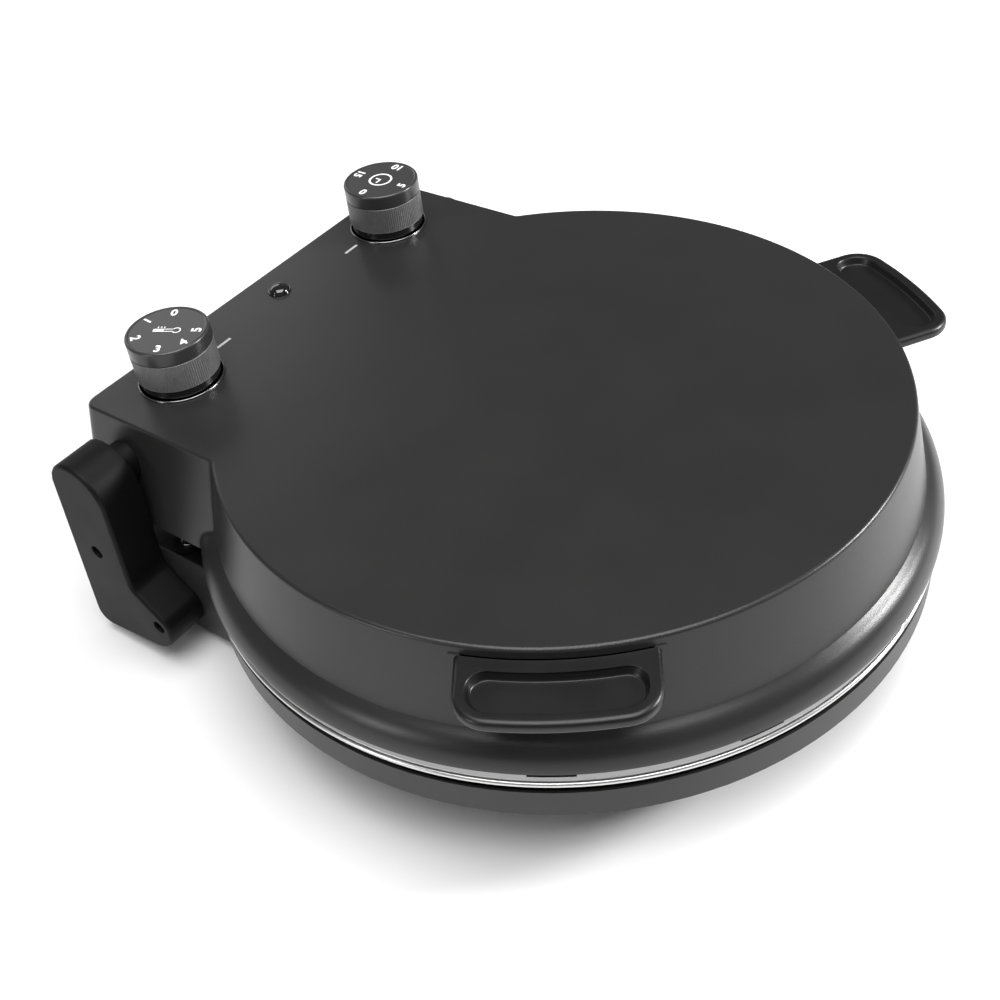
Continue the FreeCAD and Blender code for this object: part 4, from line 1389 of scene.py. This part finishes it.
@dataclass
class HingeCover:
    """A moulded cover over a hinge, with soft edges and two sunk screws."""

    node: str
    sign: int
    bends: list[Bend]
    wells: Outline
    seat: float
    edge: float = 2.0
    wall: float = 2.0
    back_edge: float = 0.35
    well_radius: float = 3.3
    well_edge: float = 0.5
    arc_steps: int = 12
    run_steps: int = 4

    def outline(self, inset: float) -> Outline:
        """The outline, moved in evenly.

        Args:
            inset: how far.

        Returns:
            Its (y, z) points, in millimetres.
        """
        moved = []
        for bend in self.bends:
            turn = math.radians(bend.heading)
            moved.append(Vector((bend.along - inset * math.sin(turn), bend.level + inset * math.cos(turn))))
        points: Outline = []
        for index, bend in enumerate(self.bends):
            start, end = moved[index], moved[(index + 1) % len(moved)]
            if not bend.side:
                shares = [step / self.run_steps for step in range(self.run_steps)]
                points += [tuple(start.lerp(end, share)) for share in shares]
                continue
            radius = bend.radius + inset * bend.side
            chord = end - start
            half = chord.length / 2
            rise = math.sqrt(max(radius * radius - half * half, 0.0))
            left = Vector((-chord.y, chord.x)).normalized()
            centre = start + chord / 2 - left * rise * bend.side
            first = start - centre
            sweep = 2 * math.asin(min(half / radius, 1.0)) * -bend.side
            for step in range(self.arc_steps):
                turn = sweep * step / self.arc_steps
                cosine, sine = math.cos(turn), math.sin(turn)
                spoke = Vector((first.x * cosine - first.y * sine, first.x * sine + first.y * cosine))
                points.append(tuple(centre + spoke))
        return points

    def build(self, palette: Palette) -> None:
        """Builds the cover.

        Args:
            palette: the finishes.
        """
        low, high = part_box(self.node)
        inner, outer = (low.x, high.x) if self.sign > 0 else (high.x, low.x)
        inner, outer = abs(inner) / MM, abs(outer) / MM
        mesh = bmesh.new()

        def ring(depth: float, inset: float) -> Loop:
            """The outline at a distance from the middle plane."""
            return [Vector((self.sign * depth * MM, y * MM, z * MM)) for y, z in self.outline(inset)]

        wall = min(self.wall, (outer - inner) * 0.25)
        near, far, sides = inner + self.back_edge, outer - self.edge, 6
        loops = [ring(outer - wall, wall), ring(inner, wall), ring(inner, self.back_edge), ring(near, 0.0)]
        loops += [ring(near + (far - near) * step / sides, 0.0) for step in range(1, sides + 1)]
        loops += [ring(outer - drop, inset) for drop, inset in quarter_round(self.edge, 8)[1:]]
        rows = bridge(mesh, loops)
        mesh.faces.new(rows[0])
        face_edges = self.close_loop(mesh, rows[-1])
        for y, z in self.wells:
            face_edges += self.add_well(mesh, y, z, outer)
        bmesh.ops.triangle_fill(mesh, use_beauty=True, use_dissolve=False, edges=face_edges)
        cover = to_object(f"{self.node}_soft", mesh, 50.0)
        weigh_normals(cover)
        palette.dress(cover, Finish.PLASTIC)
        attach(cover, "root")
        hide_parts(self.node)

    @staticmethod
    def close_loop(mesh: bmesh.types.BMesh, row: list) -> list:
        """The edges round a ring of vertices."""
        return [mesh.edges.get((row[index - 1], row[index])) for index in range(len(row))]

    def add_well(self, mesh: bmesh.types.BMesh, y: float, z: float, outer: float) -> list:
        """Adds a screw's well to the outer face.

        Args:
            mesh: the cover's mesh.
            y: where its axis stands.
            z: how high its axis is.
            outer: how far out the face is.

        Returns:
            The edges of its mouth.
        """
        loops = []
        soft = self.well_edge
        mouth = [(outer, soft), (outer - soft * 0.3, soft * 0.45), (outer - soft, 0.0), (self.seat, 0.0)]
        for depth, grow in mouth:
            points = arc_points((y, z), self.well_radius + grow, 0.0, 360.0, 32)[:-1]
            loops.append([Vector((self.sign * depth * MM, a * MM, b * MM)) for a, b in points])
        rows = bridge(mesh, loops)
        mesh.faces.new(rows[-1])
        return self.close_loop(mesh, rows[0])


def deep_bends(hinge: Vector, floor: float) -> list[Bend]:
    """The deep cover's outline: an arch over the pin, a waist, a toe at the front and a foot.

    Args:
        hinge: the hinge's axis, in millimetres.
        floor: the level of the base's underside.

    Returns:
        Its bends.
    """
    arch = 17.0
    y, z = hinge.y, hinge.z
    return [
        Bend(y - arch, z, -90.0),
        Bend(y - 12.6, floor + 43.5, -85.0, 7.0, 1),
        Bend(y - 15.1, floor + 37.5, -140.0),
        Bend(y - 27.6, floor + 27.0, -140.0, 8.0, -1),
        Bend(y - 30.5, floor + 20.9, -90.0, 18.0, -1),
        Bend(y - 16.5, floor + 2.8, -10.0),
        Bend(y + 18.0, floor - 1.0, -5.7, 8.0, -1),
        Bend(y + 26.8, floor + 7.8, 96.5),
        Bend(y + arch, z, 90.0, arch, -1),
    ]


def slim_bends(hinge: Vector, floor: float) -> list[Bend]:
    """The slim cover's outline: a long tongue with a round top.

    Args:
        hinge: the hinge's axis, in millimetres.
        floor: the level of the base's underside.

    Returns:
        Its bends.
    """
    arch, foot = 9.0, 6.0
    y, z = hinge.y, hinge.z
    return [
        Bend(y - arch, z, -90.0),
        Bend(y - arch, floor - 1.0 + foot, -90.0, foot, -1),
        Bend(y + foot - arch, floor - 1.0, 0.0),
        Bend(y + arch - foot, floor - 1.0, 0.0, foot, -1),
        Bend(y + arch, floor - 1.0 + foot, 90.0),
        Bend(y + arch, z, 90.0, arch, -1),
    ]


# ------------------------------------------------------------------ screws

@dataclass
class CrossHeads:
    """The screws of one CAD node, each with a domed head and a cross recess."""

    node: str
    body: str
    axis: str
    facing: Optional[int]
    dome: float = 0.5
    arm_half: float = 0.16
    arm_reach: float = 0.62
    recess: float = 0.9
    crown_power: float = 2.5
    arm_slope: float = 0.05
    arm_end: float = 0.15
    shank: float = 1.4
    head: float = 1.4
    rings: int = 18
    spokes: int = 64

    def height(self, across: float, along: float, radius: float) -> float:
        """How far the head's top stands out at a point, in millimetres.

        Args:
            across: the point's first coordinate.
            along: its second one.
            radius: the head's radius.

        Returns:
            The height above the head's rim.
        """
        reach = math.hypot(across, along) / radius
        crown = self.dome * (1 - reach ** self.crown_power)
        wide, long = sorted((abs(across) / radius, abs(along) / radius))
        slot = min(max((self.arm_half - wide) / self.arm_slope, 0.0), 1.0)
        end = min(max((self.arm_reach - long) / self.arm_end, 0.0), 1.0)
        return crown - self.recess * slot * end

    def add_head(self, mesh: bmesh.types.BMesh, low: Vector, high: Vector) -> None:
        """Adds one screw's head and shank.

        Args:
            mesh: where it goes.
            low: the lowest corner of the CAD screw.
            high: its highest corner.
        """
        main = "xyz".index(self.axis)
        centre = (low + high) / 2
        sign = self.facing or (1 if centre[main] > 0 else -1)
        others = [index for index in range(3) if index != main]
        radius = (high[others[0]] - low[others[0]]) / 2 / MM
        tip = high[main] if sign > 0 else low[main]
        tail = low[main] if sign > 0 else high[main]

        def at(across: float, along: float, out: float) -> Vector:
            """A point near the head, out from its rim."""
            point = centre.copy()
            point[others[0]] += across * MM
            point[others[1]] += along * MM
            point[main] = tip + sign * out * MM
            return point

        turns = [2 * math.pi * spoke / self.spokes for spoke in range(self.spokes)]
        length, under = abs(tip - tail) / MM, -self.dome - self.head
        body = [(self.shank, 0.5 - length), (self.shank, under), (radius, under), (radius, -self.dome - 0.15)]
        loops = []
        for reach, out in body:
            loops.append([at(reach * math.cos(turn), reach * math.sin(turn), out) for turn in turns])
        for ring in range(self.rings):
            reach = radius * (1 - (ring + 0.4) / (self.rings + 0.4))
            loop = []
            for turn in turns:
                a, b = reach * math.cos(turn), reach * math.sin(turn)
                loop.append(at(a, b, self.height(a, b, radius) - self.dome))
            loops.append(loop)
        rows = bridge(mesh, loops)
        close_ends(mesh, rows)

    def build(self, palette: Palette, slot: str) -> None:
        """Builds every screw of the node.

        Args:
            palette: the finishes.
            slot: not used.
        """
        mesh = bmesh.new()
        for low, high in islands(self.node):
            self.add_head(mesh, low, high)
        screws = to_object(f"{self.node}_cross", mesh, 40.0)
        palette.dress(screws, Finish.SCREW)
        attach(screws, self.body)
        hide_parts(self.node)


SCREW_SETS = (
    CrossHeads("hinge_screws", "root", "x", None),
    CrossHeads("rear_panel_screws", "root", "z", 1),
    CrossHeads("foot_screws", "root", "z", -1),
    CrossHeads("bottom_screws", "root", "z", -1),
    CrossHeads("lid_cover_screws", "lid", "z", -1),
)


# ------------------------------------------------------------------ the CAD pieces that stay

KEPT_FINISHES: dict[Finish, tuple[str, ...]] = {
    Finish.BASE_COAT: ("base_shell", "base_bottom_cover"),
    Finish.PLASTIC: ("base_rear_panel", "lid_rear_cover", "left_hinge_boss", "right_hinge_boss",
                     "cord_gland", "lid_cover_posts"),
    Finish.COAT: ("left_handle_plate", "right_handle_plate"),
    Finish.PLATE: ("upper_plate",),
    Finish.ROLLED: ("lower_plate",),
    Finish.ELEMENT: ("lower_heating_element", "upper_heating_element"),
    Finish.ZINC: ("left_hinge_arm", "right_hinge_arm", "left_hinge_plate", "right_hinge_plate",
                  "lower_heater_clips", "upper_heater_clips", "lower_plate_straps", "upper_plate_straps",
                  "lower_plate_studs", "upper_plate_studs", "lower_plate_nuts", "upper_plate_nuts"),
    Finish.SCREW: ("hinge_pins", "hinge_clips", "handle_screws", "thermostat_shaft", "timer_shaft"),
    Finish.REFLECTOR: ("lower_reflector", "upper_reflector"),
    Finish.WOOL: ("lower_insulation", "upper_insulation"),
    Finish.SWITCH: ("thermostat_body", "timer_body", "lid_terminal_block", "base_terminal_block",
                    "thermal_fuse"),
    Finish.RUBBER: ("rubber_feet",),
    Finish.LAMP: ("indicator_lamp",),
}


def dress_kept_nodes(palette: Palette) -> None:
    """Gives every CAD piece that stays its finish.

    Args:
        palette: the finishes.
    """
    for finish, nodes in KEPT_FINISHES.items():
        for node in nodes:
            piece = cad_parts[node]
            for slot in piece.material_slots:
                slot.material = palette[finish]
            if not piece.material_slots:
                piece.data.materials.append(palette[finish])
        LOG.info("finish %s on %d pieces", finish.value, len(nodes))


def build_hinges(palette: Palette) -> None:
    """Builds the two hinge covers.

    Args:
        palette: the finishes.
    """
    pins = islands("hinge_pins")
    hinge = middle(pins[0]) / MM
    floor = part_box("base_shell")[0].z / MM
    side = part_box("right_hinge_arm")[0].x / MM
    upper_screw, deep_seat, slim_seat = floor + 56.6, side + 17.3, side + 5.1
    deep_wells = [(hinge.y + 3.6, upper_screw), (hinge.y - 23.5, floor + 20.5)]
    slim_wells = [(hinge.y, upper_screw), (hinge.y, floor + 7.0)]
    deep, slim = deep_bends(hinge, floor), slim_bends(hinge, floor)
    HingeCover("left_hinge_cover", -1, deep, deep_wells, deep_seat).build(palette)
    HingeCover("right_hinge_cover", 1, slim, slim_wells, slim_seat, edge=1.6).build(palette)


def main() -> None:
    """Builds the scene in order."""
    logging.basicConfig(level=logging.INFO, format="%(name)s: %(message)s")
    shell = LidShell()
    palette = Palette(shell.axis)
    Studio().build(palette, Vector((shell.axis[0], shell.axis[1], shell.top * MM)))
    dress_kept_nodes(palette)
    shell.build(palette)
    shell.print_marks(palette)
    LOG.info("lid")
    PanelTrim().build(palette)
    for dial, numbers in DIAL_NUMBERS.items():
        Knob(dial, numbers).build(palette)
    LOG.info("knobs and trim")
    for side, turn in HANDLE_TURNS.items():
        Handle(side, turn).build(palette, shell.axis)
    LOG.info("handles")
    build_hinges(palette)
    for screws in SCREW_SETS:
        screws.build(palette, "screw_steel")
    LOG.info("hinge covers and screws")
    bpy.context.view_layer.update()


if __name__ == "__main__":
    main()
